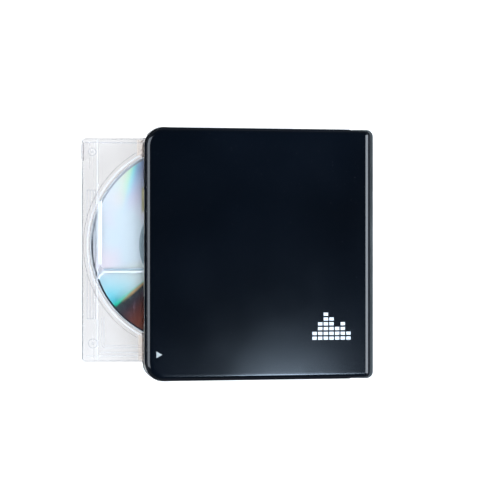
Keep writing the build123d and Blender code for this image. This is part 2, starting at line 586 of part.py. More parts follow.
def make_hold_slider():
    """Hold knob with its retaining plate."""
    y0 = -INNER_SIDE + 0.08
    return make_knob(HOLD_AT) + block(HOLD_AT - 2.2, HOLD_AT + 2.2, y0, y0 + LATCH_PLATE,
                                      KEY_LEVEL - 1.4, KEY_LEVEL + 1.4)


def make_open_slider():
    """Open knob."""
    return make_knob(OPEN_AT)


def make_latch():
    """Latch plate behind the open knob, with the tooth that holds the lid's strike."""
    y0 = -INNER_SIDE + 0.2
    x1 = OPEN_AT + KNOB_LENGTH / 2
    plate_body = block(x1 - 4.0, x1, y0, y0 + LATCH_PLATE, KEY_LEVEL - 1.6, LATCH_LEVEL + 1.0)
    return plate_body + block(x1 - 1.0, x1 + 1.2, y0, y0 + LATCH_PLATE, LATCH_LEVEL, LATCH_LEVEL + 1.0)


# ---- lid ----
def make_lid_cover():
    """Glossy shell: rounded top, skirts, open over the mouth, notched beside the hinge ears."""
    cover = plate(FRONT, LID_BACK, SIDE, FRONT_CORNER, BACK_CORNER, LID_BOTTOM, BODY_Z)
    cover = fillet(cover.faces().sort_by(Axis.Z)[-1].edges(), LID_ROUND)
    cover -= plate(FRONT + LID_WALL, LID_BACK - LID_WALL, SIDE - LID_WALL, FRONT_CORNER - LID_WALL,
                   BACK_CORNER - LID_WALL, LID_BOTTOM - 1, LID_CEILING)
    cover -= block(FRONT - 1, FRONT + FRONT_CORNER, CART_SHIFT_Y - MOUTH_HALF, CART_SHIFT_Y + MOUTH_HALF,
                   LID_BOTTOM - 1, MOUTH_TOP + TRIM_HEIGHT)
    cover -= trim_blank(MOUTH_TOP, MOUTH_TOP + TRIM_HEIGHT)
    for x, y0, y1 in LID_SCREWS:
        cover -= bar_y(LID_SCREW, x, y0, y1, LID_SCREW_Z)
    ear_front = BACK - EAR_LENGTH - 0.4
    for sign in (-1, 1):
        cover -= block(ear_front, BACK, *span(sign, SIDE - EAR_SHOW, SIDE + 1), 0, BODY_Z + 1)
        cover -= block(ear_front, BACK, *span(sign, LUG_OUT, SIDE + 1), 0, FRAME_TOP + 0.8)
        cover -= block(HINGE_X, BACK, *span(sign, LUG_IN - 0.1, SIDE + 1), 0, HINGE_HEIGHT + LUG_RADIUS + 0.1)
    return cover


def trim_blank(z0, z1):
    """Body outline moved out of the mouth and cut short: the silver strip's full slab."""
    slab = plate(FRONT, LID_BACK, SIDE, FRONT_CORNER, BACK_CORNER, z0, z1)
    slab = Pos(-TRIM_REACH, 0, 0) * slab
    return slab & block(FRONT - TRIM_REACH - 1, FRONT + TRIM_LENGTH, -SIDE, SIDE, z0, z1)


def make_slot_trim():
    """Silver strip over the mouth, wrapped round both front corners."""
    z0 = MOUTH_TOP
    trim = trim_blank(z0, z0 + TRIM_HEIGHT)
    return trim - plate(FRONT + LID_WALL, LID_BACK, SIDE - LID_WALL, FRONT_CORNER - LID_WALL,
                        BACK_CORNER - LID_WALL, z0 - 1, BODY_Z)


def make_lid_liner():
    """Pressed inner frame: ceiling sheet, side flanges and the hinge lugs."""
    side = SIDE - LID_WALL
    x0, x1 = FRONT + LID_WALL, LID_BACK - LID_WALL
    liner = plate(x0, x1, side, FRONT_CORNER - LID_WALL, BACK_CORNER - LID_WALL, LID_BOTTOM + 0.6, LID_CEILING)
    liner -= block(x0 - 1, x1 + 1, -side + LINER_SHEET, side - LINER_SHEET, 0, LINER_BOTTOM)
    liner -= block(x0 - 1, FRONT + FRONT_CORNER + 1, -side, side, 0, LINER_BOTTOM)
    liner -= block(FRONT - 1, FRONT + FRONT_CORNER, CART_SHIFT_Y - MOUTH_HALF, CART_SHIFT_Y + MOUTH_HALF,
                   0, MOUTH_TOP + TRIM_HEIGHT)
    for sign in (-1, 1):
        y0, y1 = span(sign, LUG_IN, LUG_OUT)
        liner -= block(BACK - EAR_LENGTH - 0.6, BACK, *span(sign, LUG_IN, SIDE), 0, LINER_BOTTOM)
        lug = bar_y(LUG_RADIUS, HINGE_X, y0, y1, HINGE_HEIGHT)
        lug += block(HINGE_X - LUG_RADIUS, HINGE_X + 0.4, y0, y1, HINGE_HEIGHT, LINER_BOTTOM + 0.1)
        liner += lug - bar_y(PIN_RADIUS + RUN_GAP, HINGE_X, y0 - 1, y1 + 1, HINGE_HEIGHT)
    return liner


def make_holder():
    """Bent sheet that the cartridge slides in: top, two sides and inward lips."""
    y0 = CART_SHIFT_Y - CART_Y / 2 - CART_FLOAT - HOLDER_SHEET
    y1 = CART_SHIFT_Y + CART_Y / 2 + CART_FLOAT + HOLDER_SHEET
    x0, x1 = FRONT + CASE_WALL + 1.0, CART_IN + CART_X + 0.6
    z0 = CART_BOTTOM - CART_FLOAT - HOLDER_SHEET
    sheet = block(x0, x1, y0, y1, z0, HOLDER_TOP)
    sheet -= block(x0 - 1, x1 - HOLDER_SHEET, y0 + HOLDER_SHEET, y1 - HOLDER_SHEET, z0 + HOLDER_SHEET,
                   HOLDER_TOP - HOLDER_SHEET)
    sheet -= block(x0 - 1, x1 + 1, y0 + 2.6, y1 - 2.6, z0 - 1, z0 + HOLDER_SHEET + 0.1)
    sheet -= block(x1 - 1, x1 + 1, y0 + 8, y1 - 8, z0 - 1, HOLDER_TOP - 2.4)
    return sheet


def make_holder_spring(y):
    """Leaf strip between the holder's top and the liner."""
    x0, half = SPINDLE_X - LEAF_LENGTH / 2, LEAF_WIDTH / 2
    leaf = block(x0, x0 + LEAF_LENGTH, y - half, y + half, HOLDER_TOP, HOLDER_TOP + LEAF_SHEET)
    return leaf + block(x0, x0 + half, y - half, y + half, HOLDER_TOP, LINER_BOTTOM)


def make_lid_screw(x, y0, y1):
    """Small cheese-head screw through the skirt, its head just under the surface."""
    low, high = (y0, y1 - 0.15) if y0 > 0 else (y0 + 0.15, y1)
    head = bar_y(LID_SCREW, x, low, high, LID_SCREW_Z)
    slot_y = span(1 if y0 > 0 else -1, SIDE - 0.4, SIDE)
    slot = block(x - 0.6, x + 0.6, *slot_y, LID_SCREW_Z - 0.14, LID_SCREW_Z + 0.14)
    return head - slot - Pos(x, 0, LID_SCREW_Z) * Rot(0, 90, 0) * Pos(-x, 0, -LID_SCREW_Z) * slot


def make_strike():
    """Hook on the lid's flange that the latch catches."""
    x0, x1 = STRIKE_X, STRIKE_X + STRIKE_WIDTH
    y0, y1 = -STRIKE_Y, -STRIKE_Y + STRIKE_WIDTH
    z0 = LATCH_LEVEL - MOVE_GAP - 1.0
    hook = block(x0, x1, y0, y1, z0, LINER_BOTTOM)
    return hook + block(x0 - STRIKE_TOOTH, x0, y0, y1, z0, LATCH_LEVEL - MOVE_GAP)


# ---- cartridge, drawn seated ----
def cart_block(x0, x1, y0, y1, z0, z1):
    """Box in the cartridge's own measures: x from its outer end, y from its middle."""
    return block(CART_IN + x0, CART_IN + x1, CART_SHIFT_Y + y0, CART_SHIFT_Y + y1, z0, z1)


def shell_blank(z0, z1):
    """Solid outline of the cartridge with the record tab's notch."""
    blank = rounded_block(CART_IN, CART_IN + CART_X, CART_SHIFT_Y - CART_Y / 2, CART_SHIFT_Y + CART_Y / 2,
                          z0, z1, CART_CORNER)
    top_side = CART_Y / 2 - TAB_FROM_SIDE
    notch = cart_block(-1, TAB_DEPTH, top_side - TAB_LENGTH - TAB_TRAVEL - 0.1, top_side + 0.1,
                       CART_MID - 0.9, CART_MID + 0.9)
    return blank - notch


def shell_hollow(z0, z1):
    """Disc chamber inside the shells, with the four corner pockets beyond its ring wall."""
    ring = DISC_RADIUS + CHAMBER_GAP
    chamber = disc(ring, SPINDLE_X, SPINDLE_Y, z0, z1)
    pocket = cart_block(TAB_DEPTH + 1.2, CART_X - SHELL_RIM, -CART_Y / 2 + SHELL_RIM, CART_Y / 2 - SHELL_RIM, z0, z1)
    pocket -= disc(ring + CHAMBER_WALL, SPINDLE_X, SPINDLE_Y, z0 - 1, z1 + 1)
    return chamber, pocket


def make_upper_shell():
    """Clear upper half: skin, ring wall, rim, label recess and grip grooves."""
    shell = shell_blank(CART_MID, CART_TOP)
    chamber, pocket = shell_hollow(CART_MID - 1, CART_TOP - SHELL_SKIN)
    shell = shell - chamber - pocket
    edge = CART_Y / 2 - LABEL_EDGE
    for y0, y1 in ((-edge, LABEL_RIB_Y - LABEL_RIB / 2), (LABEL_RIB_Y + LABEL_RIB / 2, edge)):
        shell -= rounded_block(CART_IN + LABEL_START, CART_IN + CART_X - 3, CART_SHIFT_Y + y0, CART_SHIFT_Y + y1,
                               CART_TOP - LABEL_DEEP, CART_TOP + 1, 1.2)
    shell -= cart_block(LABEL_START - 1.5, LABEL_START - 1.25, -CART_Y / 2 + 2, CART_Y / 2 - 2,
                        CART_TOP - 0.15, CART_TOP + 1)
    for n in range(GROOVE_COUNT):
        x = 1.2 + n * (GROOVE_WIDTH + 0.45)
        shell -= cart_block(x, x + GROOVE_WIDTH, -22.0, 19.5, CART_TOP - 0.25, CART_TOP + 1)
    shell -= Pos(CART_IN + 3.4, CART_SHIFT_Y - 30.2, CART_TOP) * Cylinder(1.4, 0.4)
    shell -= Pos(CART_IN + 3.1, CART_SHIFT_Y + 32.1, CART_TOP) * Cylinder(1.1, 0.4)
    return shell


def make_lower_shell():
    """Clear lower half with the hub hole, head window and shutter recess."""
    shell = shell_blank(CART_BOTTOM, CART_MID)
    chamber, pocket = shell_hollow(CART_BOTTOM + SHELL_SKIN + SHUTTER_SEAT, CART_MID + 1)
    shell = shell - chamber - pocket
    low, high = CART_BOTTOM - 1, CART_BOTTOM + SHELL_SKIN + SHUTTER_SEAT + 1
    shell -= disc(HUB_WINDOW, SPINDLE_X, SPINDLE_Y, low, high)
    half = HEAD_WINDOW / 2
    shell -= block(SPINDLE_X - half, SPINDLE_X + half, CART_SHIFT_Y - CART_Y / 2 + 3.0, SPINDLE_Y - HUB_WINDOW - 2,
                   low, high)
    seat_x0, seat_x1 = SPINDLE_X - SHUTTER_WIDTH / 2 - SHUTTER_TRAVEL - 0.3, SPINDLE_X + SHUTTER_WIDTH / 2 + 0.3
    shell -= block(seat_x0, seat_x1, CART_SHIFT_Y - CART_Y / 2 - 1, SPINDLE_Y - HUB_WINDOW - 0.6,
                   low, CART_BOTTOM + SHUTTER_SEAT)
    return shell


def make_shutter():
    """Pressed metal shutter in the lower shell's recess."""
    x0, x1 = SPINDLE_X - SHUTTER_WIDTH / 2, SPINDLE_X + SHUTTER_WIDTH / 2
    z0 = CART_BOTTOM + 0.05
    y0 = CART_SHIFT_Y - CART_Y / 2 + 0.05
    sheet = block(x0, x1, y0, SPINDLE_Y - HUB_WINDOW - 0.9, z0, z0 + SHUTTER_SHEET)
    for y in (y0 + 8, y0 + 14):
        sheet -= block(SPINDLE_X - 5, SPINDLE_X + 5, y, y + 0.8, z0 + 0.15, z0 + 1)
    return sheet


def make_record_tab():
    """Small slider in the notch at the cartridge's outer corner."""
    top_side = CART_Y / 2 - TAB_FROM_SIDE
    tab = cart_block(-0.35, TAB_DEPTH - 0.1, top_side - TAB_LENGTH, top_side, CART_MID - 0.85, CART_MID + 0.85)
    return fillet(tab.edges().filter_by(Axis.Z), 0.3)


def make_disc():
    """Polycarbonate disc with its centre bore."""
    middle = CART_MID + 0.2
    plate_body = disc(DISC_RADIUS, SPINDLE_X, SPINDLE_Y, middle - DISC_THICK / 2, middle + DISC_THICK / 2)
    return plate_body - disc(DISC_BORE, SPINDLE_X, SPINDLE_Y, 0, BODY_Z)


def make_disc_hub():
    """Steel clamping plate under the disc's bore."""
    z1 = CART_MID + 0.2 - DISC_THICK / 2
    hub = disc(HUB_RADIUS, SPINDLE_X, SPINDLE_Y, z1 - HUB_THICK, z1)
    hub += disc(DISC_BORE - 0.1, SPINDLE_X, SPINDLE_Y, z1 - HUB_THICK, z1 + 0.4)
    return hub - disc(HUB_HOLE, SPINDLE_X, SPINDLE_Y, 0, BODY_Z)


# ---- write one file per piece ----
BASE_PIECES = {
    "lower_case": make_lower_case,
    "hinge_frame": make_hinge_frame,
    "hinge_pins": make_hinge_pins,
    "deck_plate": make_deck,
    "deck_screws": lambda: spots(SCREW_SPOTS, make_deck_screw),
    "case_screws": lambda: spots(CASE_SCREWS, make_case_screw),
    "spindle_motor": make_spindle_motor,
    "turntable": make_turntable,
    "guide_rod": make_guide_rod,
    "lead_screw": make_lead_screw,
    "sled_motor": make_sled_motor,
    "pickup_sled": make_pickup_sled,
    "lens_holder": make_lens_holder,
    "objective_lens": make_lens,
    "battery": make_battery,
    "battery_contacts": make_battery_contacts,
    "battery_door": make_battery_door,
    "door_pin": make_door_pin,
    "main_board": make_main_board,
    "board_stands": make_board_stands,
    "chips": make_chips,
    "headphone_jack": make_headphone_jack,
    "key_board": make_key_board,
    "key_switches": lambda: spots(KEY_SPOTS, make_key_switch),
    "hold_slider": make_hold_slider,
    "open_slider": make_open_slider,
    "lid_latch": make_latch,
}
KEY_NAMES = ("play_key", "stop_key", "next_key", "volume_up_key", "volume_down_key")
LID_PIECES = {
    "lid_cover": make_lid_cover,
    "lid_liner": make_lid_liner,
    "slot_trim": make_slot_trim,
    "disc_holder": make_holder,
    "lid_screws": lambda: spots(LID_SCREWS, make_lid_screw),
    "holder_springs": lambda: spots([(CART_SHIFT_Y - CART_Y * 0.3,), (CART_SHIFT_Y + CART_Y * 0.3,)],
                                    make_holder_spring),
    "lid_strike": make_strike,
}
CARTRIDGE_PIECES = {
    "upper_shell": make_upper_shell,
    "lower_shell": make_lower_shell,
    "shutter": make_shutter,
    "record_tab": make_record_tab,
    "disc": make_disc,
    "disc_hub": make_disc_hub,
}


def main():
    """Build every piece in its rest place and write it."""
    os.makedirs("parts", exist_ok=True)
    pieces = {name: make() for name, make in BASE_PIECES.items()}
    pieces.update({name: make_key(*spot) for name, spot in zip(KEY_NAMES, KEY_SPOTS)})
    pieces.update({name: open_lid(make()) for name, make in LID_PIECES.items()})
    pieces.update({name: load_cartridge(make()) for name, make in CARTRIDGE_PIECES.items()})
    for name, shape in pieces.items():
        export_step(shape, f"parts/{name}.step")


main()
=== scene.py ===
"""Looks of a portable disc player: glossy lid, clear cartridge, disc, case, keys and deck.

Lengths are millimetres in the functions and metres in the meshes.  Pieces of the lid and the
cartridge are worked out with the lid shut and the cartridge seated, then carried to rest.
"""

import json
import math

import bmesh
import bpy
import numpy as np
from mathutils import Matrix, Vector


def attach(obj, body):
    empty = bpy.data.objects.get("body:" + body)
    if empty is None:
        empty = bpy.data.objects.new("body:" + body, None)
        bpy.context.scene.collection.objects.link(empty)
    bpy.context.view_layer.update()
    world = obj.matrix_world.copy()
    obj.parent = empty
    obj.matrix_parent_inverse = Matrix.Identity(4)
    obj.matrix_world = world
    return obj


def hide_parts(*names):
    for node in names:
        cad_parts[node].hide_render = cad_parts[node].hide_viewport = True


bl_info = {
    "name": "Disc player looks",
    "version": (1, 0, 0),
    "blender": (4, 5, 0),
    "location": "View3D > Sidebar > Disc player",
    "description": "Builds the visible pieces and finishes of a portable disc player round its frame",
    "category": "Object",
}

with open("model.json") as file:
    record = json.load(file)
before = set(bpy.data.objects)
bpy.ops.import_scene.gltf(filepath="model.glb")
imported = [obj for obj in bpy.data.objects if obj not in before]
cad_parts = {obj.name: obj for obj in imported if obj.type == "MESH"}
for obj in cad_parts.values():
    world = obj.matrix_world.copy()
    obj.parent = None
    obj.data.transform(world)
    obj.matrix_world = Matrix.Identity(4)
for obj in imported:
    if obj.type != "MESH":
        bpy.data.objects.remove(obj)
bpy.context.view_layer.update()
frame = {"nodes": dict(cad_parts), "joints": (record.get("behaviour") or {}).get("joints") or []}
MM = 0.001
NODES = frame["nodes"]
JOINTS = {joint["name"]: joint for joint in frame["joints"]}

HINGE = Vector(JOINTS["lid_hinge"]["pos_m"]) / MM
OPEN_ANGLE = -math.radians(JOINTS["lid_hinge"]["range_deg"][0])
LOAD_TRAVEL = JOINTS["cartridge_slide"]["range_m"][1] / MM


# ---- places read from the frame ----
def lid_turn():
    """Turn about the hinge that carries the shut lid to its open rest pose, in millimetres."""
    return Matrix.Translation(HINGE) @ Matrix.Rotation(OPEN_ANGLE, 4, "Y") @ Matrix.Translation(-HINGE)


def cart_turn():
    """Slide of the seated cartridge out to its rest place, then the lid's turn."""
    return lid_turn() @ Matrix.Translation((-LOAD_TRAVEL, 0, 0))


def carried(points, matrix):
    """Points in millimetres (n, 3), moved by a matrix, as metres."""
    turn = np.array(matrix)
    return (points @ turn[:3, :3].T + turn[:3, 3]) * MM


def points_at(node, matrix):
    """A node's points before the matrix carried it, in millimetres (n, 3)."""
    mesh = NODES[node].data
    points = np.empty(len(mesh.vertices) * 3, np.float32)
    mesh.vertices.foreach_get("co", points)
    back = np.array(matrix.inverted())
    return points.reshape(-1, 3).astype(float) / MM @ back[:3, :3].T + back[:3, 3]


def box_at(node, matrix):
    """Lowest and highest corner of a node before the matrix carried it, in millimetres."""
    points = points_at(node, matrix)
    return points.min(0), points.max(0)


SHUT = Matrix.Identity(4)
CASE_FRONT = box_at("lower_case", SHUT)[0][1]
LID_LOW, LID_HIGH = box_at("lid_cover", lid_turn())
TRIM_LOW, TRIM_HIGH = box_at("slot_trim", lid_turn())
CART_LOW, CART_HIGH = box_at("upper_shell", cart_turn())
CART_MIDDLE = (CART_LOW[1] + CART_HIGH[1]) / 2
DISC_LOW, DISC_HIGH = box_at("disc", cart_turn())
DISC_MID = (DISC_LOW + DISC_HIGH) / 2


# ---- mesh helpers ----
SAME_POINT = 0.002      # points closer than this, in millimetres, are one
CORNER_STEPS = 14       # points on a rounded corner
SIDE_STEPS = 42         # points on a straight side, ends included


def mesh_piece(name, points, faces, matrix, body, smooth=35.0):
    """Object from millimetre points and faces, carried to rest, riding on a body.

    Edges that turn by more than smooth, in degrees, stay sharp.
    """
    mesh = bpy.data.meshes.new(name)
    mesh.from_pydata(carried(points, matrix).tolist(), [], faces)
    work = bmesh.new()
    work.from_mesh(mesh)
    bmesh.ops.remove_doubles(work, verts=work.verts, dist=SAME_POINT * MM)
    bmesh.ops.recalc_face_normals(work, faces=work.faces)
    work.to_mesh(mesh)
    work.free()
    mesh.update()
    mesh.shade_smooth()
    mesh.set_sharp_from_angle(angle=math.radians(smooth))
    piece = bpy.data.objects.new(name, mesh)
    bpy.context.scene.collection.objects.link(piece)
    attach(piece, body)
    return piece


def grid_faces(rows, columns, wrap_rows=False, wrap_columns=True):
    """Quads of a grid whose point (r, c) has index r * columns + c."""
    r = np.arange(rows if wrap_rows else rows - 1)
    c = np.arange(columns if wrap_columns else columns - 1)
    r, c = np.meshgrid(r, c, indexing="ij")
    r1, c1 = (r + 1) % rows, (c + 1) % columns
    quads = np.stack([r * columns + c, r * columns + c1, r1 * columns + c1, r1 * columns + c], -1)
    return quads.reshape(-1, 4).tolist()


def revolved(profile, sides):
    """Surface of revolution about Z: each (radius, height) of the profile turned through a circle."""
    profile = np.asarray(profile, float)
    angle = np.linspace(0, 2 * math.pi, sides, endpoint=False)
    radius, height = profile[:, :1], profile[:, 1:]
    points = np.stack([radius * np.cos(angle), radius * np.sin(angle), height + 0 * angle], -1)
    return points.reshape(-1, 3), grid_faces(len(profile), sides, wrap_rows=True)


def capped(rings, first, last):
    """Tube through rings of points (rows, n, 3), closed to a point at each end, and its faces."""
    count = rings.shape[1]
    points = np.concatenate([np.tile(first, (count, 1)), rings.reshape(-1, 3), np.tile(last, (count, 1))])
    return points, grid_faces(len(rings) + 2, count)


def rounded_outline(low, high, front, back):
    """Closed plan outline with its own front and back corner radii, and its outward normals.

    Each corner is a quarter circle: centre + radius * (cos a, sin a); straights join them, and are
    divided evenly so that the long sides can be notched.
    """
    corners = [(low[0] + front, high[1] - front, front, math.pi, math.pi / 2),
               (high[0] - back, high[1] - back, back, math.pi / 2, 0.0),
               (high[0] - back, low[1] + back, back, 0.0, -math.pi / 2),
               (low[0] + front, low[1] + front, front, -math.pi / 2, -math.pi)]
    points, normals = [], []
    for x, y, radius, start, end in corners:
        angle = np.linspace(start, end, CORNER_STEPS)
        normal = np.stack([np.cos(angle), np.sin(angle)], -1)
        points.append(np.array([x, y]) + radius * normal)
        normals.append(normal)
    full_points, full_normals = [], []
    gap = np.linspace(0, 1, SIDE_STEPS)[1:-1, None]
    for n in range(4):
        first, last = points[n][-1], points[(n + 1) % 4][0]
        full_points += [points[n], first + (last - first) * gap]
        full_normals += [normals[n], np.repeat(normals[n][-1:], len(gap), 0)]
    return np.concatenate(full_points), np.concatenate(full_normals)


def smooth_step(value, low, high):
    """0 below low, 1 above high, and 3t^2 - 2t^3 between."""
    t = np.clip((value - low) / (high - low), 0, 1)
    return t * t * (3 - 2 * t)


# ---- material helpers ----
class Wiring:
    """A node tree being wired up."""

    def __init__(self, tree):
        self.tree = tree

    def node(self, kind, inputs=None, **settings):
        """New node with its settings and its inputs, each an output to link or a plain value."""
        made = self.tree.nodes.new(kind)
        for key, value in settings.items():
            setattr(made, key, value)
        for key, value in (inputs or {}).items():
            if isinstance(value, bpy.types.NodeSocket):
                self.tree.links.new(value, made.inputs[key])
            else:
                made.inputs[key].default_value = value
        return made

    def maths(self, operation, first, second):
        """Result of one Math node."""
        return self.node("ShaderNodeMath", {0: first, 1: second}, operation=operation).outputs[0]

    def product(self, first, *others):
        """All the values multiplied."""
        for other in others:
            first = self.maths("MULTIPLY", first, other)
        return first

    def spread(self, value, low, high, source=(0.3, 0.7)):
        """Value mapped from its source range to low..high."""
        return self.node("ShaderNodeMapRange", {"Value": value, "From Min": source[0], "From Max": source[1],
                                                "To Min": low, "To Max": high}).outputs["Result"]

    def height(self, vector):
        """Z of a vector."""
        return self.node("ShaderNodeSeparateXYZ", {"Vector": vector}).outputs["Z"]


class Finish(Wiring):
    """A Principled material being wired up."""

    def __init__(self, name, colour, roughness, **sockets):
        self.material = bpy.data.materials.new(name)
        self.material.use_nodes = True
        super().__init__(self.material.node_tree)
        self.shader = self.tree.nodes["Principled BSDF"]
        self.shader.inputs["Base Color"].default_value = (*colour, 1)
        self.shader.inputs["Roughness"].default_value = roughness
        for socket, value in sockets.items():
            self.shader.inputs[socket.replace("_", " ")].default_value = value
        self.place = self.node("ShaderNodeTexCoord").outputs["Object"]

    def feed(self, output, socket):
        """Link an output into the shader."""
        self.tree.links.new(output, self.shader.inputs[socket])

    def mapped(self, **change):
        """Object coordinates with a Location or a Scale."""
        return self.node("ShaderNodeMapping", {"Vector": self.place, **change}).outputs["Vector"]

    def noise(self, scale, detail=3.0, roughness=0.55, vector=None):
        """Noise value."""
        return self.node("ShaderNodeTexNoise", {"Vector": vector or self.place, "Scale": scale, "Detail": detail,
                                                "Roughness": roughness}).outputs["Fac"]

    def ramp(self, value, stops):
        """Colour ramp through (place, colour) stops."""
        made = self.node("ShaderNodeValToRGB", {"Fac": value})
        elements = made.color_ramp.elements
        while len(elements) < len(stops):
            elements.new(0.5)
        for element, (place, colour) in zip(elements, stops):
            element.position = place
            element.color = (*colour, 1)
        return made.outputs["Color"]

    def mix(self, factor, first, second, blend="MIX"):
        """Colour mix: first where the factor is 0, second where it is 1."""
        made = self.node("ShaderNodeMix", data_type="RGBA", blend_type=blend)
        for key, value in ((0, factor), (6, first), (7, second)):
            if isinstance(value, bpy.types.NodeSocket):
                self.tree.links.new(value, made.inputs[key])
            else:
                made.inputs[key].default_value = value if key == 0 else (*value, 1)
        return made.outputs[2]

    def bump(self, height, strength, distance):
        """Bump normal into the shader."""
        made = self.node("ShaderNodeBump", {"Height": height, "Strength": strength, "Distance": distance * MM})
        self.feed(made.outputs["Normal"], "Normal")


def paint(names, material):
    """Give its material to a CAD node or a new piece, or to several named with spaces between."""
    for name in names.split():
        target = NODES.get(name) or bpy.data.objects[name]
        target.data.materials.clear()
        target.data.materials.append(material)


def darkened(colour, share):
    """Share of a colour's light."""
    return tuple(channel * share for channel in colour)


def moulded(name, colour, roughness, grain=9000.0, depth=0.01, **sockets):
    """Moulded plastic: fine spark-eroded grain, slight colour mottle, worn patches that shine."""
    finish = Finish(name, colour, roughness, **sockets)
    fine = finish.noise(grain, 2.0)
    broad = finish.noise(90.0, 3.0)
    finish.feed(finish.mix(finish.spread(broad, 0.0, 1.0), darkened(colour, 0.86), colour), "Base Color")
    finish.feed(finish.spread(broad, roughness * 0.85, roughness * 1.15), "Roughness")
    finish.bump(fine, 0.35, depth)
    return finish.material


ALONG_X, ALONG_Y = (1.0, 30.0, 1.0), (30.0, 1.0, 1.0)


def sheet_metal(name, colour, roughness, direction=ALONG_X):
    """Rolled metal: streaks along one axis in roughness, tone and a shallow bump."""
    finish = Finish(name, colour, roughness, Metallic=1.0)
    streak = finish.noise(260.0, 4.0, vector=finish.mapped(Scale=direction))
    broad = finish.noise(60.0, 2.0)
    finish.feed(finish.mix(finish.spread(streak, 0.0, 1.0), darkened(colour, 0.8), colour), "Base Color")
    finish.feed(finish.spread(broad, roughness * 0.8, roughness * 1.25), "Roughness")
    finish.bump(streak, 0.2, 0.006)
    return finish.material


# ---- lid ----
TURN_IN = 0.1           # half the length over which the skirt's end or side steps in
SLIT = 0.02             # gap round the silver strip
STRIP_GROOVE = 0.5      # how far the silver strip's groove goes in
LIP = 0.12              # bevel along the skirt's end
EAR_GAP = (0.4, 0.8)    # room before and over a hinge ear
CORNER_LEFT = 0.06      # radius left to a back corner where the edge lies furthest in
EDGE_ROWS = 11          # rows on the rounded edge, down to the silver strip
METER_LEVELS = (2, 4, 6, 5, 3, 4, 2)
MARK_FOOT, MARK_THICK = 0.2, 0.21       # how deep a lid mark's foot stands in the lid, and its whole thickness


def lid_shell_points(settings):
    """Rows of the lid's shell, from the top's middle over the edge and back under the ceiling.

    The plan outline is moved inwards along its normals.  The rounded edge is a quarter circle:
    inset = R - sqrt(R^2 - rise^2), held under the back corner's own radius, and it goes down to the
    silver strip.  The front skirt ends over the mouth, the back ends of both sides step in beside
    the hinge ears, and a groove takes the silver strip.
    """
    radius, wall = settings.edge_round / MM, settings.wall / MM
    low = LID_LOW - np.array([settings.front_lip / MM, 0, 0])
    outline, normals = rounded_outline(low, LID_HIGH, settings.front_corner / MM, settings.back_corner / MM)
    x, y = outline[:, 0], outline[:, 1]
    top, bottom = LID_HIGH[2], LID_LOW[2]
    mouth_half = CART_HIGH[1] - CART_MIDDLE + settings.mouth_margin / MM
    in_mouth = (1 - smooth_step(np.abs(y - CART_MIDDLE), mouth_half - TURN_IN, mouth_half + TURN_IN)) * (x < 0)
    skirt_end = bottom + in_mouth * (TRIM_HIGH[2] - bottom + SLIT)
    ear_low, ear_high = box_at("hinge_frame", SHUT)
    ear_front, ear_top = ear_low[0] - EAR_GAP[0], ear_high[2] + EAR_GAP[1]
    at_ear = smooth_step(x, ear_front - TURN_IN, ear_front + TURN_IN)
    step_high, step_low = settings.ear_show / MM * at_ear, settings.ear_depth / MM * at_ear
    near_trim = (x < TRIM_HIGH[0]) * STRIP_GROOVE
    back = settings.back_corner / MM
    deepest = np.where(x > LID_HIGH[0] - back - SLIT / 2, back - CORNER_LEFT, radius)

    def row(inset, height, step=step_low):
        """The outline moved in by inset, at a height, with both sides stepped in by step."""
        moved = outline - normals * np.broadcast_to(inset, x.shape)[:, None]
        moved[:, 1] = np.clip(moved[:, 1], LID_LOW[1] + step, LID_HIGH[1] - step)
        return np.column_stack([moved, np.broadcast_to(height, x.shape)])

    def shrunk(source, share, height):
        """A row drawn towards the lid's middle."""
        middle = (LID_LOW[:2] + LID_HIGH[:2]) / 2
        flat = middle + (source[:, :2] - middle) * share
        return np.column_stack([flat, np.full(len(x), height)])

    def edge_inset(height):
        """How far the rounded edge lies in from the outline at a height."""
        rise = np.clip(height - (top - radius), 0, radius)
        return np.minimum(radius - np.sqrt(radius ** 2 - rise ** 2), deepest)

    strip_angle = math.asin(1 - (top - TRIM_HIGH[2] - SLIT) / radius)
    heights = top - radius + radius * np.sin(np.linspace(math.pi / 2, strip_angle, EDGE_ROWS))
    rows = [row(edge_inset(height), height, step_high) for height in heights]
    rows = [shrunk(rows[0], share, top) for share in (0, 0.5, 0.9, 0.995)] + rows
    for height, groove in ((TRIM_HIGH[2] + SLIT / 2, 1), (TRIM_LOW[2] - SLIT / 2, 1), (TRIM_LOW[2] - SLIT, 0)):
        height = np.maximum(height, skirt_end - SLIT / 2)
        rows.append(row(np.maximum(near_trim * groove, edge_inset(height)), height, step_high))
    rows.append(row(0, np.maximum(ear_top + SLIT, skirt_end), step_high))
    rows.append(row(0, np.maximum(ear_top - SLIT, skirt_end)))
    rows += [row(0, skirt_end + LIP), row(LIP, skirt_end)]
    inner = np.maximum(wall, step_low + 0.35)
    ceiling = top - wall
    rows += [row(inner, skirt_end), row(inner, np.maximum(ceiling, skirt_end))]
    rows += [shrunk(rows[-1], share, ceiling) for share in (0.8, 0.4, 0.0)]
    return np.concatenate(rows), len(rows), len(x)


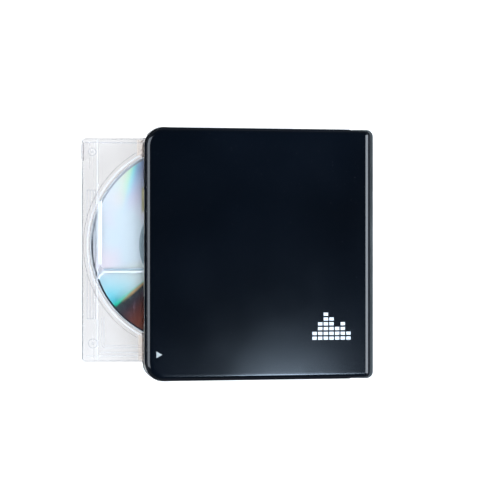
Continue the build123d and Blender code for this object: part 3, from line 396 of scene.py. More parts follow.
def lid_lacquer(settings):
    """Blue-black gloss over dark paint, with dust, smears and orange peel.

    Painted shade: seen from above, the side walls' reflections of the floor are turned down in the specular level, as
    if the case stood in its own shade.
    """
    finish = Finish("lid_lacquer", tuple(settings.colour), settings.roughness, Specular_IOR_Level=0.5)
    tone = finish.spread(finish.noise(22.0, 2.0), 0.0, 1.0)
    body = finish.mix(tone, darkened(settings.colour, 0.6), tuple(settings.colour))
    dust = finish.ramp(finish.noise(2600.0, 1.0), [(0.0, (0, 0, 0)), (0.775, (0, 0, 0)), (0.80, (1, 1, 1))])
    finish.feed(finish.mix(finish.mix(0.18, (0, 0, 0), dust), body, (0.16, 0.17, 0.19)), "Base Color")
    clean, smeared = settings.roughness - 0.012, settings.roughness + 0.02
    finish.feed(finish.spread(finish.noise(46.0, 4.0, 0.6), clean, smeared, (0.35, 0.65)), "Roughness")
    # painted shade: less specular where the side walls, seen from above, would mirror the floor
    seen = finish.node("ShaderNodeNewGeometry").outputs
    away = finish.node("ShaderNodeVectorMath", {0: seen["Incoming"], 1: seen["True Normal"]}, operation="REFLECT")
    downward = finish.spread(finish.height(away.outputs["Vector"]), 0.0, 1.0, (-0.14, 0.1))
    above = finish.spread(finish.height(seen["Incoming"]), 0.0, 1.0, (0.75, 0.9))
    finish.feed(finish.spread(finish.product(downward, above), 0.5, 0.02, (0.0, 1.0)), "Specular IOR Level")
    finish.bump(finish.noise(320.0, 2.0), 0.12, 0.01)
    return finish.material


def plate_mark(outline, height, thick):
    """Thin raised mark: a closed outline (n, 2) lifted from height by thick, with both faces."""
    count = len(outline)
    low = np.column_stack([outline, np.full(count, height)])
    high = np.column_stack([outline, np.full(count, height + thick)])
    faces = [list(range(count, 2 * count)), list(range(count - 1, -1, -1))]
    faces += [[n, (n + 1) % count, count + (n + 1) % count, count + n] for n in range(count)]
    return np.concatenate([low, high]), faces


def joined(parts):
    """Several (points, faces) as one."""
    points, faces, base = [], [], 0
    for part_points, part_faces in parts:
        points.append(part_points)
        faces += [[index + base for index in face] for face in part_faces]
        base += len(part_points)
    return np.concatenate(points), faces


def make_lid(settings):
    """Glossy shell in place of the plain cover."""
    points, rows, columns = lid_shell_points(settings)
    piece = mesh_piece("lid_shell", points, grid_faces(rows, columns), lid_turn(), "lid", 30.0)
    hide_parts("lid_cover")
    paint("lid_shell", lid_lacquer(settings))


def worn_ink(name, colour, worn, share):
    """Printed ink, mottled with up to a share of its worn colour."""
    ink = Finish(name, colour, 0.35)
    ink.feed(ink.mix(ink.spread(ink.noise(1500.0), 0.0, share), colour, worn), "Base Color")
    return ink.material


def make_lid_marks(settings):
    """Printed marks: a play triangle by the mouth and a plain level meter by the hinge.

    A meter's block (n, step) has its corner at place + (n * pitch, step * 1.5 * height).
    """
    size = settings.triangle / MM
    shape = np.array([[0, -size / 2], [size * 0.92, 0], [0, size / 2]])
    pitch = settings.meter_pitch / MM
    height, width = pitch * 0.55, pitch * 0.77
    block = np.array([[0, 0], [width, 0], [width, height], [0, height]])
    places = [(n * pitch, step * 1.5 * height) for n, level in enumerate(METER_LEVELS) for step in range(level)]
    marks = {"play_mark": [shape + np.array(settings.triangle_at) / MM],
             "level_mark": [block + place + np.array(settings.meter_at) / MM for place in places]}
    for name, outlines in marks.items():
        points, faces = joined([plate_mark(outline, LID_HIGH[2] - MARK_FOOT, MARK_THICK) for outline in outlines])
        mesh_piece(name, points, faces, lid_turn(), "lid")
    paint("play_mark", worn_ink("mark_ink", tuple(settings.ink), (0.1, 0.12, 0.14), 0.25))
    paint("level_mark", worn_ink("mark_white", (0.78, 0.82, 0.85), (0.6, 0.65, 0.7), 0.3))


# ---- disc ----
DISC_BEVEL, DISC_RIM = 0.15, 1.0        # bevel at the disc's edge, and the rim outside the mirror
MIRROR_SUNK, CLAMP_SUNK = 0.05, 0.12    # depths of the mirror and of the groove in the clamping zone
HUB_RING, HUB_RIM = 16.3, 16.1          # radii of the mirror's inner edge and of the step inside it
CLAMP_OUTER, CLAMP_INNER = (11.0, 10.8), (8.4, 8.2)     # radii where that groove's two walls start and end

# painted reflection colours of the disc's mirror across the upper half and round the lower half, as (share of the
# way, colour)
PALE_REFLECTION, ROSE_REFLECTION = (0.80, 0.89, 0.93), (0.94, 0.80, 0.88)
UPPER_REFLECTION_TONES = ((0.0, (0.86, 0.92, 0.95)), (0.11, (0.86, 0.91, 0.72)), (0.15, (0.66, 0.94, 0.68)),
               (0.18, (0.38, 0.86, 0.86)), (0.215, (0.40, 0.58, 0.80)), (0.27, (0.45, 0.46, 0.64)),
               (0.36, (0.30, 0.42, 0.56)), (0.60, (0.50, 0.58, 0.66)), (1.0, PALE_REFLECTION))
LOWER_REFLECTION_TONES = ((0.0, PALE_REFLECTION), (0.16, (0.56, 0.74, 0.80)), (0.22, (0.44, 0.76, 0.84)), (0.27, (0.24, 0.72, 0.82)),
               (0.305, (0.08, 0.50, 0.58)), (0.325, (0.01, 0.55, 0.33)), (0.338, (0.035, 0.058, 0.065)),
               (0.38, (0.045, 0.035, 0.05)), (0.43, (0.12, 0.035, 0.032)), (0.475, (0.22, 0.055, 0.035)),
               (0.52, (0.12, 0.04, 0.03)), (0.60, (0.02, 0.02, 0.025)), (0.80, (0.3, 0.4, 0.45)), (1.0, PALE_REFLECTION))


def disc_painted_reflection(settings):
    """Mirror back seen through clear plastic, with painted reflection: the rainbow its pitted tracks throw and its
    glints, and painted shade and a painted highlight at the rim.

    In the disc's own plane, in millimetres from its centre: the upper half's tones follow
    x - 0.24 y and grow with y, and the lower half's follow the angle below the outer side and
    fade towards the middle.
    """
    finish = Finish("disc_painted_reflection", (0.7, 0.8, 0.85), settings.roughness, Metallic=0.1, Specular_IOR_Level=0.06)
    centre = cart_turn() @ Vector(DISC_MID)
    own = finish.mapped(Location=tuple(-centre * MM))
    turned = finish.node("ShaderNodeMapping", {"Vector": own, "Rotation": (0, -OPEN_ANGLE, 0),
                                               "Scale": (1 / MM,) * 3}).outputs["Vector"]
    flat = finish.node("ShaderNodeSeparateXYZ", {"Vector": turned})
    x, y = flat.outputs["X"], flat.outputs["Y"]

    def over(value, start, end):
        """0 where the value is at start, 1 where it is at end."""
        if start < end:
            return finish.spread(value, 0.0, 1.0, (start, end))
        return finish.spread(value, 1.0, 0.0, (end, start))

    radius = finish.node("ShaderNodeVectorMath", {0: turned}, operation="LENGTH").outputs["Value"]
    leaning = finish.maths("SUBTRACT", x, finish.product(y, 0.24))
    angle = finish.maths("ARCTAN2", finish.product(y, -1.0), finish.product(x, -1.0))

    # painted reflection of the pale mirror, greyer at its outer side, with a rose glint low on that side
    base = finish.mix(over(finish.noise(70.0, 1.0), 0.45, 0.7), PALE_REFLECTION, ROSE_REFLECTION)
    base = finish.mix(over(x, -24.0, -30.0), base, (0.82, 0.86, 0.90))
    rose_glint = finish.node("ShaderNodeVectorMath", {0: turned, 1: (-27.5, -5.5, 0.0)}, operation="DISTANCE")
    base = finish.mix(finish.spread(rose_glint.outputs["Value"], 0.8, 0.0, (1.0, 7.0)), base, (0.96, 0.84, 0.89))

    # painted rainbow reflection over the upper half, and a painted gold glint near the mouth
    upper = finish.ramp(over(leaning, -30.2, 5.8), UPPER_REFLECTION_TONES)
    base = finish.mix(over(y, 10.0, 24.0), base, upper)
    gold_glint = finish.product(over(x, -15.6, -14.9), over(y, 10.0, 11.5), over(y, 19.0, 18.0), over(x, -8.0, -13.0))
    base = finish.mix(gold_glint, base, (0.62, 0.56, 0.25))

    # painted reflection on the wedge of the lower half: blue to green, paler inwards, an orange glint at the green's
    # edge, then the dark reflection
    turn = over(angle, 0.0, math.radians(120.0))
    lower = finish.ramp(turn, LOWER_REFLECTION_TONES)
    inward = finish.spread(radius, 0.85, 0.0, (20.0, 30.0))
    lower = finish.mix(finish.product(inward, over(turn, 0.333, 0.31)), lower, (0.88, 0.92, 0.88))
    ember_glint = finish.product(over(turn, 0.318, 0.33), over(turn, 0.346, 0.334),
                           finish.spread(radius, 0.9, 0.0, (24.0, 29.0)))
    lower = finish.mix(ember_glint, lower, (0.62, 0.36, 0.16))
    base = finish.mix(over(angle, math.radians(15.0), math.radians(21.0)), base, lower)

    # painted shade in a dark band at the rim, lighter over the upper half, a painted highlight line at its edge, and
    # the grey clamping zone
    rim_shade = finish.mix(over(y, 0.0, 9.0), (0.012, 0.015, 0.03), (0.42, 0.44, 0.48))
    base = finish.mix(over(radius, 31.0, 31.15), base, rim_shade)
    base = finish.mix(over(radius, 31.6, 31.7), base, (0.92, 0.94, 0.96))
    base = finish.mix(over(radius, HUB_RIM + 0.15, HUB_RIM), base, (0.35, 0.44, 0.48))
    finish.feed(finish.mix(1.0, base, (settings.shade,) * 3, "MULTIPLY"), "Base Color")
    return finish.material


def make_disc(settings):
    """Turned disc: flat faces, bevelled rim, stepped clamping zone and bore."""
    half = (DISC_HIGH[2] - DISC_LOW[2]) / 2
    outer = (DISC_HIGH[1] - DISC_LOW[1]) / 2
    bore, bevel, mirror, clamp = settings.bore / MM, DISC_BEVEL, half - MIRROR_SUNK, half - CLAMP_SUNK
    profile = [(bore, -half), (outer - bevel, -half), (outer, -half + bevel), (outer, half - bevel),
               (outer - bevel, half), (outer - DISC_RIM + 0.1, half), (outer - DISC_RIM, mirror), (HUB_RING, mirror),
               (HUB_RIM, half), (CLAMP_OUTER[0], half), (CLAMP_OUTER[1], clamp), (CLAMP_INNER[0], clamp),
               (CLAMP_INNER[1], half), (bore, half)]
    points, faces = revolved(profile, 192)
    piece = mesh_piece("disc_plate", points + DISC_MID, faces, cart_turn(), "disc")
    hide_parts("disc")
    paint("disc_plate", disc_painted_reflection(settings))


# ---- cartridge ----
SHELL_FAR = 64.0                    # inner end of the lines that run in under the lid
SHELL_SIDE = 35.2                   # half the length of the lines across the shell
SEAM_HALF = 0.03                    # half the gap between the two shells
LINE_SUNK, LINE_PROUD = 0.03, 0.02  # foot and face of a painted line, from the shell's face
# colour and cover of each tone of painted line: pale and white are painted highlights along the shell's mouldings and
# round the disc's well, grey, faint, edge, slate and brown are painted shade along them, and amber and brown also
# paint the case's shade seen through the shell
PAINTED_LINE_TONES = {"grey": ((0.50, 0.49, 0.51), 0.45), "faint": ((0.55, 0.54, 0.56), 0.28),
              "pale": ((0.95, 0.95, 0.97), 0.45), "white": ((0.95, 0.96, 0.99), 0.7),
              "edge": ((0.45, 0.41, 0.38), 0.35), "amber": ((0.80, 0.60, 0.46), 0.22),
              "slate": ((0.30, 0.45, 0.54), 0.6), "brown": ((0.32, 0.27, 0.26), 0.6)}


def clear_plastic(name, tint, roughness):
    """Clear moulded plastic with flow lines in its surface."""
    finish = Finish(name, tint, roughness, IOR=1.22, Transmission_Weight=1.0)
    finish.feed(finish.spread(finish.noise(60.0), roughness * 0.6, roughness * 1.6), "Roughness")
    return finish.material


def ribbon(path, width, low, high, closed=False):
    """Flat moulded line: a path (n, 2) widened by half its width to both sides, from low to high.

    The side step at a point is the normal of its neighbours' chord, so corners stay joined.
    """
    path = np.asarray(path, float)
    before, after = np.roll(path, 1, 0), np.roll(path, -1, 0)
    if not closed:
        before[0], after[-1] = path[0], path[-1]
    chord = after - before
    side = np.column_stack([-chord[:, 1], chord[:, 0]]) / np.linalg.norm(chord, axis=1)[:, None] * width / 2
    count = len(path)
    corners = [(path + side, high), (path + side, low), (path - side, low), (path - side, high)]
    points = np.concatenate([np.column_stack([flat, np.full(count, z)]) for flat, z in corners])
    quads = grid_faces(4, count, wrap_rows=True, wrap_columns=closed)
    if not closed:
        quads += [[0, count, 2 * count, 3 * count], [count - 1, 4 * count - 1, 3 * count - 1, 2 * count - 1]]
    return points, quads


def arc(x, y, radius, start, end, steps):
    """Points of a circular arc between two angles in degrees."""
    angle = np.radians(np.linspace(start, end, steps))
    return np.column_stack([x + radius * np.cos(angle), y + radius * np.sin(angle)])


def painted_shell_lines():
    """Painted highlight and shade lines on the clear shell's face, along its mouldings and round the disc's well, as
    (path, width, tone).

    Places are (x from the shell's outer end, y from its middle); a hooked line is a start, a quarter
    circle and a run to the inner end.
    """
    end, hub, far, side = CART_LOW[0], DISC_MID[:2], SHELL_FAR, SHELL_SIDE

    def straight(tone, width, *lines):
        """Straight lines, each (x, y) to (x, y)."""
        return [([(end + x0, CART_MIDDLE + y0), (end + x1, CART_MIDDLE + y1)], width, tone)
                for x0, y0, x1, y1 in lines]

    def ring(tone, width, x, y, radius, start=0, stop=360, steps=48):
        """Circle or arc."""
        return [(arc(end + x, CART_MIDDLE + y, radius, start, stop, steps), width, tone)]

    def hooked(tone, width, start, centre, radius, level):
        """Hooked line that ends at a level."""
        turn = arc(end + centre[0], CART_MIDDLE + centre[1], radius, 180, 270, 10)
        first, last = (end + start[0], CART_MIDDLE + start[1]), (end + far, CART_MIDDLE + level)
        return [(np.concatenate([[first], turn, [last]]), width, tone)]

    lines = straight("grey", 0.22, (0.7, 34.4, far, 34.4))
    lines += straight("faint", 0.18, (0.9, -33.9, far, -33.9), (5.4, -32.9, far, -32.9))
    lines += straight("pale", 0.22, (4.55, -side, 4.55, side)) + straight("faint", 0.12, (4.85, -side, 4.85, side))
    lines += straight("grey", 0.16, (1.2, -22.0, 4.0, -22.0), (1.2, 19.2, 4.0, 19.2))
    lines += straight("grey", 0.16, *((x, -22.0, x, 19.2) for x in (1.3, 2.25, 3.2, 3.9)))
    for x, y, radius in ((3.15, -29.9, 1.45), (2.95, 31.4, 1.2)):
        lines += ring("grey", 0.16, x, y, radius) + ring("grey", 0.14, x, y, 0.3, steps=16)
    for inset in (0.0, 0.7):
        lines += hooked("faint", 0.16, (6.0 + inset, -21.5), (7.2, -30.2), 1.2 - inset, -31.4 + inset)
    lines += straight("edge", 0.2, (0.2, 35.5, far, 35.5), (0.2, -35.5, far, -35.5))
    lines += straight("brown", 0.25, (0.15, 28.6, 0.15, 34.2))
    lines += straight("amber", 1.9, (18.3, 30.2, 18.3, 35.4)) + straight("amber", 1.5, (18.5, -27.2, 18.5, -35.4))
    lines += straight("brown", 0.35, *((18.5, y, 19.5, y + 0.7) for y in (30.4, 31.9, 34.6)))
    lines += straight("brown", 0.45, *((19.2, y, 19.2, y + 1.1) for y in (-28.4, -30.6, -32.6, -34.9)))
    lines += hooked("grey", 0.22, (5.45, 16.2), (6.6, -4.7), 1.15, -5.85)
    lines += straight("white", 1.15, (5.45, 15.6, 5.45, -4.6)) + straight("slate", 0.30, (6.6, -6.2, far, -6.2))
    lines += straight("white", 0.45, (6.3, -7.0, far, -7.0)) + ring("white", 0.55, 6.6, -9.2, 1.6, 180, 95, 10)
    return lines + [(arc(*hub, 33.0, 0, 360, 160), 0.25, "pale"), (arc(*hub, 32.4, 0, 360, 160), 0.13, "brown"),
                    (arc(*hub, 34.3, 120, 240, 60), 0.12, "brown")]


def parted(node, name, level, lift):
    """Copy of a moulded shell whose mating face is moved off the joint by lift, so the halves don't touch."""
    points = points_at(node, cart_turn())
    points[np.abs(points[:, 2] - level) < 0.01, 2] += lift
    loops = NODES[node].data.loops
    corners = np.empty(len(loops), np.int32)
    loops.foreach_get("vertex_index", corners)
    piece = mesh_piece(name, points, corners.reshape(-1, 3).tolist(), cart_turn(), "cartridge", 20.0)
    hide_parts(node)


def make_cartridge(settings):
    """Finishes of the shells, the shutter, the record tab and the hub, and the painted highlight and shade lines on
    the shell.
    """
    seam = box_at("lower_shell", cart_turn())[1][2]
    parted("upper_shell", "clear_top", seam, SEAM_HALF)
    parted("lower_shell", "clear_bottom", seam, -SEAM_HALF)
    paint("clear_top", clear_plastic("clear_upper", (0.99, 0.99, 0.99), settings.roughness))
    paint("clear_bottom", clear_plastic("clear_lower", tuple(settings.tint), settings.roughness))
    low, high = CART_HIGH[2] - LINE_SUNK, CART_HIGH[2] + LINE_PROUD
    # painted lines: highlights and shade along the shell's mouldings, one piece and one material per tone
    for tone, (colour, cover) in PAINTED_LINE_TONES.items():
        parts = [ribbon(path, width, low, high, np.allclose(path[0], path[-1]))
                 for path, width, kind in painted_shell_lines() if kind == tone]
        points, faces = joined(parts)
        mesh_piece("painted_shell_lines_" + tone, points, faces, cart_turn(), "cartridge")
        line = Finish("line_" + tone, colour, 0.35, Alpha=cover)
        line.feed(line.spread(line.noise(900.0), 0.25, 0.5), "Roughness")
        paint("painted_shell_lines_" + tone, line.material)
    paint("shutter", sheet_metal("shutter_steel", (0.62, 0.63, 0.65), 0.3, ALONG_Y))
    paint("disc_hub", sheet_metal("hub_steel", (0.6, 0.6, 0.62), 0.28))
    paint("record_tab", clear_plastic("clear_tab", (0.95, 0.945, 0.95), 0.2))


# ---- case, hinge and controls ----
KEYS = [name for name in NODES if name.endswith("_key")]
MARK_SUNK = 0.1         # how deep a mark's foot stands in a key or the case


def case_plastic(name, settings):
    """The case's black moulded plastic."""
    return moulded(name, tuple(settings.colour), settings.roughness, 5200.0, 0.02)


def make_case_finish(settings):
    """Finishes of the case, hinge frame, strip, keys and knobs."""
    paint("lower_case battery_door board_stands", case_plastic("case_plastic", settings))
    paint("hinge_frame", sheet_metal("frame_grey", (0.21, 0.225, 0.225), 0.42, ALONG_Y))
    paint("slot_trim", sheet_metal("trim_champagne", (0.74, 0.66, 0.58), 0.28, ALONG_Y))
    keys = moulded("key_silver", (0.45, 0.46, 0.48), 0.3, 7000.0, 0.003, Metallic=0.8)
    paint(" ".join(KEYS) + " hold_slider open_slider", keys)
    steel = sheet_metal("plain_steel", (0.6, 0.61, 0.63), 0.3)
    paint("hinge_pins deck_screws guide_rod lead_screw door_pin lid_latch lid_strike", steel)
    paint("holder_springs key_switches", steel)
    paint("lid_screws case_screws", sheet_metal("black_oxide", (0.05, 0.05, 0.055), 0.45))


def key_shapes(size):
    """Outlines in a key's face, by key: triangle, square, triangle with a bar, plus and minus."""
    half, bar = size / 2, size / 7
    triangle = np.array([[-half * 0.8, -half], [half * 0.9, 0], [-half * 0.8, half]])
    square = np.array([[-half, -half], [half, -half], [half, half], [-half, half]]) * 0.85
    upright = square * (0.2, 1.18) + (half * 1.15, 0)
    level = square * (1.18, 0.3)
    plus = np.array([[-half, -bar], [-bar, -bar], [-bar, -half], [bar, -half], [bar, -bar], [half, -bar],
                     [half, bar], [bar, bar], [bar, half], [-bar, half], [-bar, bar], [-half, bar]])
    return {"play_key": [triangle], "stop_key": [square], "next_key": [triangle, upright],
            "volume_up_key": [plus], "volume_down_key": [level]}


def on_front(outlines, x, z, face, proud):
    """Plates of flat outlines stood up on a face that looks towards -Y: (u, v) goes to (x + u, z + v)."""
    points, faces = joined([plate_mark(outline, -MARK_SUNK, MARK_SUNK + proud) for outline in outlines])
    return np.column_stack([x + points[:, 0], face - points[:, 2], z + points[:, 1]]), faces


def make_control_marks(settings):
    """Printed marks on the five keys and an arrow on the case over each slider."""
    size, proud = settings.mark_size / MM, settings.mark_proud / MM
    shapes = key_shapes(size)
    ink = moulded("key_ink", (0.03, 0.032, 0.036), 0.4)
    for key, outlines in shapes.items():
        low, high = box_at(key, SHUT)
        middle = (low + high) / 2
        points, faces = on_front(outlines, middle[0], middle[2], low[1], proud)
        mesh_piece(key + "_mark", points, faces, SHUT, key)
        paint(key + "_mark", ink)
    arrow, arrows = shapes["play_key"][0], []
    for slider, way in (("open_slider", -1), ("hold_slider", 1)):
        low, high = box_at(slider, SHUT)
        arrows.append(on_front([arrow * (way, 1)], (low[0] + high[0]) / 2, high[2] + size, CASE_FRONT, proud))
    points, faces = joined(arrows)
    mesh_piece("slider_arrows", points, faces, SHUT, "base")
    paint("slider_arrows", moulded("case_print", (0.42, 0.44, 0.47), 0.5))


SLEEVE_WALL, SLEEVE_LENGTH, SLEEVE_BACK = 0.14, 9.0, 0.12      # lining of the jack, set back from its face


def make_jack_sleeve(settings):
    """Plated lining of the jack's bore, with bevelled lips, revolved about the bore and laid along Y."""
    low, high = box_at("headphone_jack", SHUT)
    outer, inner = settings.jack_bore / MM + 0.02, settings.jack_bore / MM - SLEEVE_WALL
    back, front = high[1] - SLEEVE_LENGTH, high[1] - SLEEVE_BACK
    lip = front + 0.04
    profile = [(inner, back), (outer, back), (outer, front), (outer - 0.05, lip), (inner + 0.04, lip),
               (inner, front - 0.1)]
    points, faces = revolved(profile, 48)
    points = points[:, [0, 2, 1]] + (low + high) / 2 * (1, 0, 1)
    mesh_piece("jack_sleeve", points, faces, SHUT, "base")
    paint("jack_sleeve", sheet_metal("nickel", (0.68, 0.66, 0.60), 0.25))


GROOVES = 4             # finger grooves in the battery door, a groove's width apart
GROOVE_TOP = 1.3        # middle of the first groove below the door's top
DOOR_STEPS = 90         # points along the door and down its face


def make_battery_door(settings, case):
    """Battery door with finger grooves: a section round its hinge barrel and face, carried along X.

    The face is pulled in by depth * sum of (1 - (z - groove)^2 / half^2), where that is above 0, and
    by nothing outside the grip's length.
    """
    low, high = box_at("battery_door", SHUT)
    radius = (high[1] - low[1]) / 2
    axis_y, axis_z = low[1] + radius, low[2] + radius
    angle = np.linspace(0, -math.pi, CORNER_STEPS)
    barrel = np.column_stack([axis_y + radius * np.cos(angle), axis_z + radius * np.sin(angle)])
    top = np.array([[low[1], high[2]], [high[1] - 0.2, high[2]], [high[1] - 0.06, high[2] - 0.06]])
    face_z = np.linspace(high[2] - 0.2, axis_z + 0.05, DOOR_STEPS)
    section = np.concatenate([barrel, top, np.column_stack([np.full(DOOR_STEPS, high[1]), face_z])])
    on_face = np.arange(len(section)) >= len(barrel) + len(top)
    half = settings.groove_width / MM / 2
    grooves = high[2] - GROOVE_TOP - np.arange(GROOVES) * 4 * half
    pull = np.clip(1 - ((section[:, 1:] - grooves) / half) ** 2, 0, None).sum(1) * on_face
    x = np.linspace(low[0], high[0], DOOR_STEPS)
    grip = settings.grip / MM / 2
    window = 1 - smooth_step(np.abs(x - x.mean()), grip - 0.3, grip)
    y = section[:, 0] - settings.groove_depth / MM * window[:, None] * pull
    middle = section.mean(0)
    points, faces = capped(np.stack([x[:, None] + 0 * y, y, section[:, 1] + 0 * y], -1), [low[0], *middle],
                           [high[0], *middle])
    piece = mesh_piece("grooved_door", points, faces, SHUT, "battery_door", 30.0)
    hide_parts("battery_door")
    paint("grooved_door", case_plastic("door_plastic", case))


TOOTH = 0.8             # share of the pitch that a thread's tooth takes
THREAD_ROWS, THREAD_SIDES = 300, 28


def make_lead_thread(settings):
    """Lead screw with a true two-start right-hand thread.

    Radius = core + depth * tooth * window, where the tooth rises and falls over the phase
    (y - start) / pitch + starts * turn, and the window leaves both journals plain.
    """
    low, high = box_at("lead_screw", SHUT)
    crest = (high[0] - low[0]) / 2
    depth, pitch, plain = settings.thread_depth / MM, settings.thread_pitch / MM, settings.journal / MM
    y = np.linspace(low[1], high[1], THREAD_ROWS)[:, None]
    turn = np.linspace(0, 1, THREAD_SIDES, endpoint=False)
    phase = np.mod((y - low[1]) / pitch + settings.thread_starts * turn, 1)
    tooth = np.clip(np.minimum(phase, TOOTH - phase) / (TOOTH / 2), 0, 1)
    window = smooth_step(y, low[1] + plain, low[1] + plain + 0.4) * (1 - smooth_step(y, high[1] - 0.6, high[1] - 0.2))
    radius = crest - depth + depth * tooth * window
    middle, angle = (low + high) / 2, 2 * math.pi * turn
    rings = np.stack([middle[0] + radius * np.cos(angle), y + 0 * radius, middle[2] + radius * np.sin(angle)], -1)
    points, faces = capped(rings, [middle[0], low[1], middle[2]], [middle[0], high[1], middle[2]])
    piece = mesh_piece("lead_thread", points, faces, SHUT, "lead_screw")
    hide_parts("lead_screw")
    paint("lead_thread", sheet_metal("thread_steel", (0.6, 0.61, 0.63), 0.28))


def make_deck_finish():
    """Finishes of the deck, drive, board, cell and the lid's inside."""
    paint("deck_plate", moulded("deck_black", (0.035, 0.036, 0.04), 0.5, 4200.0, 0.02))
    paint("lid_liner", moulded("liner_black", (0.03, 0.03, 0.033), 0.5, 4200.0, 0.02))
    paint("disc_holder", sheet_metal("holder_sheet", (0.52, 0.52, 0.53), 0.34))
    paint("spindle_motor sled_motor", sheet_metal("motor_can", (0.55, 0.55, 0.57), 0.3))
    paint("turntable", moulded("turntable_black", (0.06, 0.06, 0.06), 0.45))
    paint("pickup_sled", moulded("sled_black", (0.05, 0.05, 0.055), 0.5))
    paint("lens_holder", moulded("lens_carrier", (0.16, 0.13, 0.08), 0.4))
    paint("objective_lens", Finish("lens_glass", (0.5, 0.6, 0.9), 0.03, Transmission_Weight=0.9).material)
    paint("battery", moulded("cell_wrap", (0.22, 0.26, 0.32), 0.35))
    paint("battery_contacts", sheet_metal("gilt_contact", (0.83, 0.62, 0.28), 0.25))
    paint("main_board key_board", moulded("green_board", (0.015, 0.14, 0.06), 0.35))
    paint("chips", moulded("chip_black", (0.02, 0.02, 0.02), 0.5))
    paint("headphone_jack", moulded("jack_black", (0.02, 0.02, 0.022), 0.4))


# ---- stage ----
FLOOR_HALF = 1.6        # half the floor's side, in metres
FLOOR_SUNK = 0.0001     # gap between the floor and the case's underside
LAMP_DISTANCE = 1.15    # lamps from the table's middle, in metres
SENSOR = 36.0           # width of the camera's sensor, in millimetres


def through_clear(wiring):
    """1 for rays straight from the camera or through clear plastic alone, 0 once they have lit something."""
    paths = wiring.node("ShaderNodeLightPath").outputs
    clear = wiring.maths("MAXIMUM", wiring.maths("MINIMUM", paths["Transmission Depth"], 1.0), paths["Is Camera Ray"])
    return wiring.maths("MAXIMUM", wiring.maths("SUBTRACT", clear, paths["Diffuse Depth"]), 0.0)


def make_floor(settings):
    """White floor that glows by a different share to the camera, in reflections and through clear plastic."""
    mesh = bpy.data.meshes.new("floor")
    corners = [(-FLOOR_HALF, -FLOOR_HALF, 0), (FLOOR_HALF, -FLOOR_HALF, 0), (FLOOR_HALF, FLOOR_HALF, 0),
               (-FLOOR_HALF, FLOOR_HALF, 0)]
    mesh.from_pydata(corners, [], [(0, 1, 2, 3)])
    floor = bpy.data.objects.new("floor", mesh)
    bpy.context.scene.collection.objects.link(floor)
    floor.location.z = -FLOOR_SUNK
    pale = Finish("floor_pale", tuple(settings.floor_colour), 0.7)
    pale.shader.inputs["Emission Color"].default_value = (1, 1, 1, 1)
    paths = pale.node("ShaderNodeLightPath").outputs
    mirrored = pale.maths("SUBTRACT", paths["Is Glossy Ray"], paths["Is Transmission Ray"])
    seen = pale.maths("MAXIMUM", pale.product(paths["Is Camera Ray"], settings.floor_glow),
                      pale.product(mirrored, settings.mirror_glow))
    clear = pale.product(through_clear(pale), settings.clear_glow)
    pale.feed(pale.maths("MAXIMUM", seen, clear), "Emission Strength")
    floor.data.materials.append(pale.material)


def make_lamps(settings):
    """Four rectangular lamps round the table, turned to face its middle."""
    side, window = tuple(settings.lamp_colour), tuple(settings.window_colour)
    left = (-math.tan(settings.left_lean), settings.left_back, 1)
    right = (math.tan(settings.right_lean), 0, 1)
    lamps = (("left_light", left, settings.left_size, settings.left_light, side),
             ("right_light", right, settings.right_size, settings.right_light, side),
             ("window_light", settings.window_way, settings.window_size, settings.window_light, window),
             ("sill_light", settings.sill_way, settings.sill_size, settings.sill_light, window))
    for name, way, (width, depth), strength, colour in lamps:
        lamp = bpy.data.lights.new(name, "AREA")
        lamp.shape, lamp.size, lamp.size_y = "RECTANGLE", width, depth
        lamp.energy = strength * math.pi * width * depth
        lamp.color = colour
        holder = bpy.data.objects.new(name, lamp)
        bpy.context.scene.collection.objects.link(holder)
        way = Vector(way).normalized()
        across = Vector((0, 1, 0)).cross(way).normalized()
        turn = Matrix((across, way.cross(across), way)).transposed().to_4x4()
        holder.matrix_world = Matrix.Translation(way * LAMP_DISTANCE) @ turn


def make_world(settings):
    """Dim bluish sky, brightest at the sides, behind a white that the camera and level mirrors see.

    Strength = horizon * min(1, (1 - z)^1.5) * (0.15 + 0.85 x^2) + ceiling, and soft light for diffuse rays.
    """
    world = bpy.data.worlds.new("studio")
    bpy.context.scene.world = world
    world.use_nodes = True
    world.node_tree.nodes.clear()
    sky = Wiring(world.node_tree)
    direction = sky.node("ShaderNodeTexCoord").outputs["Generated"]
    split = sky.node("ShaderNodeSeparateXYZ", {0: direction}).outputs
    level = sky.maths("POWER", sky.maths("SUBTRACT", 1.0, split["Z"]), 1.5)
    aside = sky.maths("ADD", sky.product(split["X"], split["X"], 0.85), 0.15)
    glow = sky.product(sky.maths("MINIMUM", level, 1.0), aside, settings.horizon_strength)
    paths = sky.node("ShaderNodeLightPath").outputs
    soft = sky.product(sky.maths("MINIMUM", paths["Diffuse Depth"], 1.0), settings.soft_strength)
    strength = sky.maths("ADD", sky.maths("ADD", glow, settings.ceiling_strength), soft)
    lit = sky.node("ShaderNodeBackground", {"Color": (0.86, 0.93, 1.0, 1), "Strength": strength})
    plain = sky.node("ShaderNodeBackground", {"Color": (1, 1, 1, 1)})
    low_down = sky.spread(split["Z"], 1.0, 0.0, (settings.flag_from, settings.flag_full))
    mirrored = sky.product(low_down, sky.maths("SUBTRACT", paths["Is Glossy Ray"], paths["Is Transmission Ray"]))
    shown = sky.maths("MAXIMUM", through_clear(sky), mirrored)
    choice = sky.node("ShaderNodeMixShader", {0: shown, 1: lit.outputs[0], 2: plain.outputs[0]})
    sky.node("ShaderNodeOutputWorld", {0: choice.outputs[0]})


def make_camera(settings):
    """Camera over the lid, leaning towards the mouth side."""
    view = bpy.data.cameras.new("camera")
    view.sensor_width, view.lens = SENSOR, settings.lens
    eye = bpy.data.objects.new("camera", view)
    bpy.context.scene.collection.objects.link(eye)
    lean = Matrix.Rotation(-settings.lean, 4, "Y")
    eye.matrix_world = lean @ Matrix.Translation((*settings.aim, settings.distance))
    bpy.context.scene.camera = eye
    bpy.context.scene.view_settings.view_transform = "Standard"


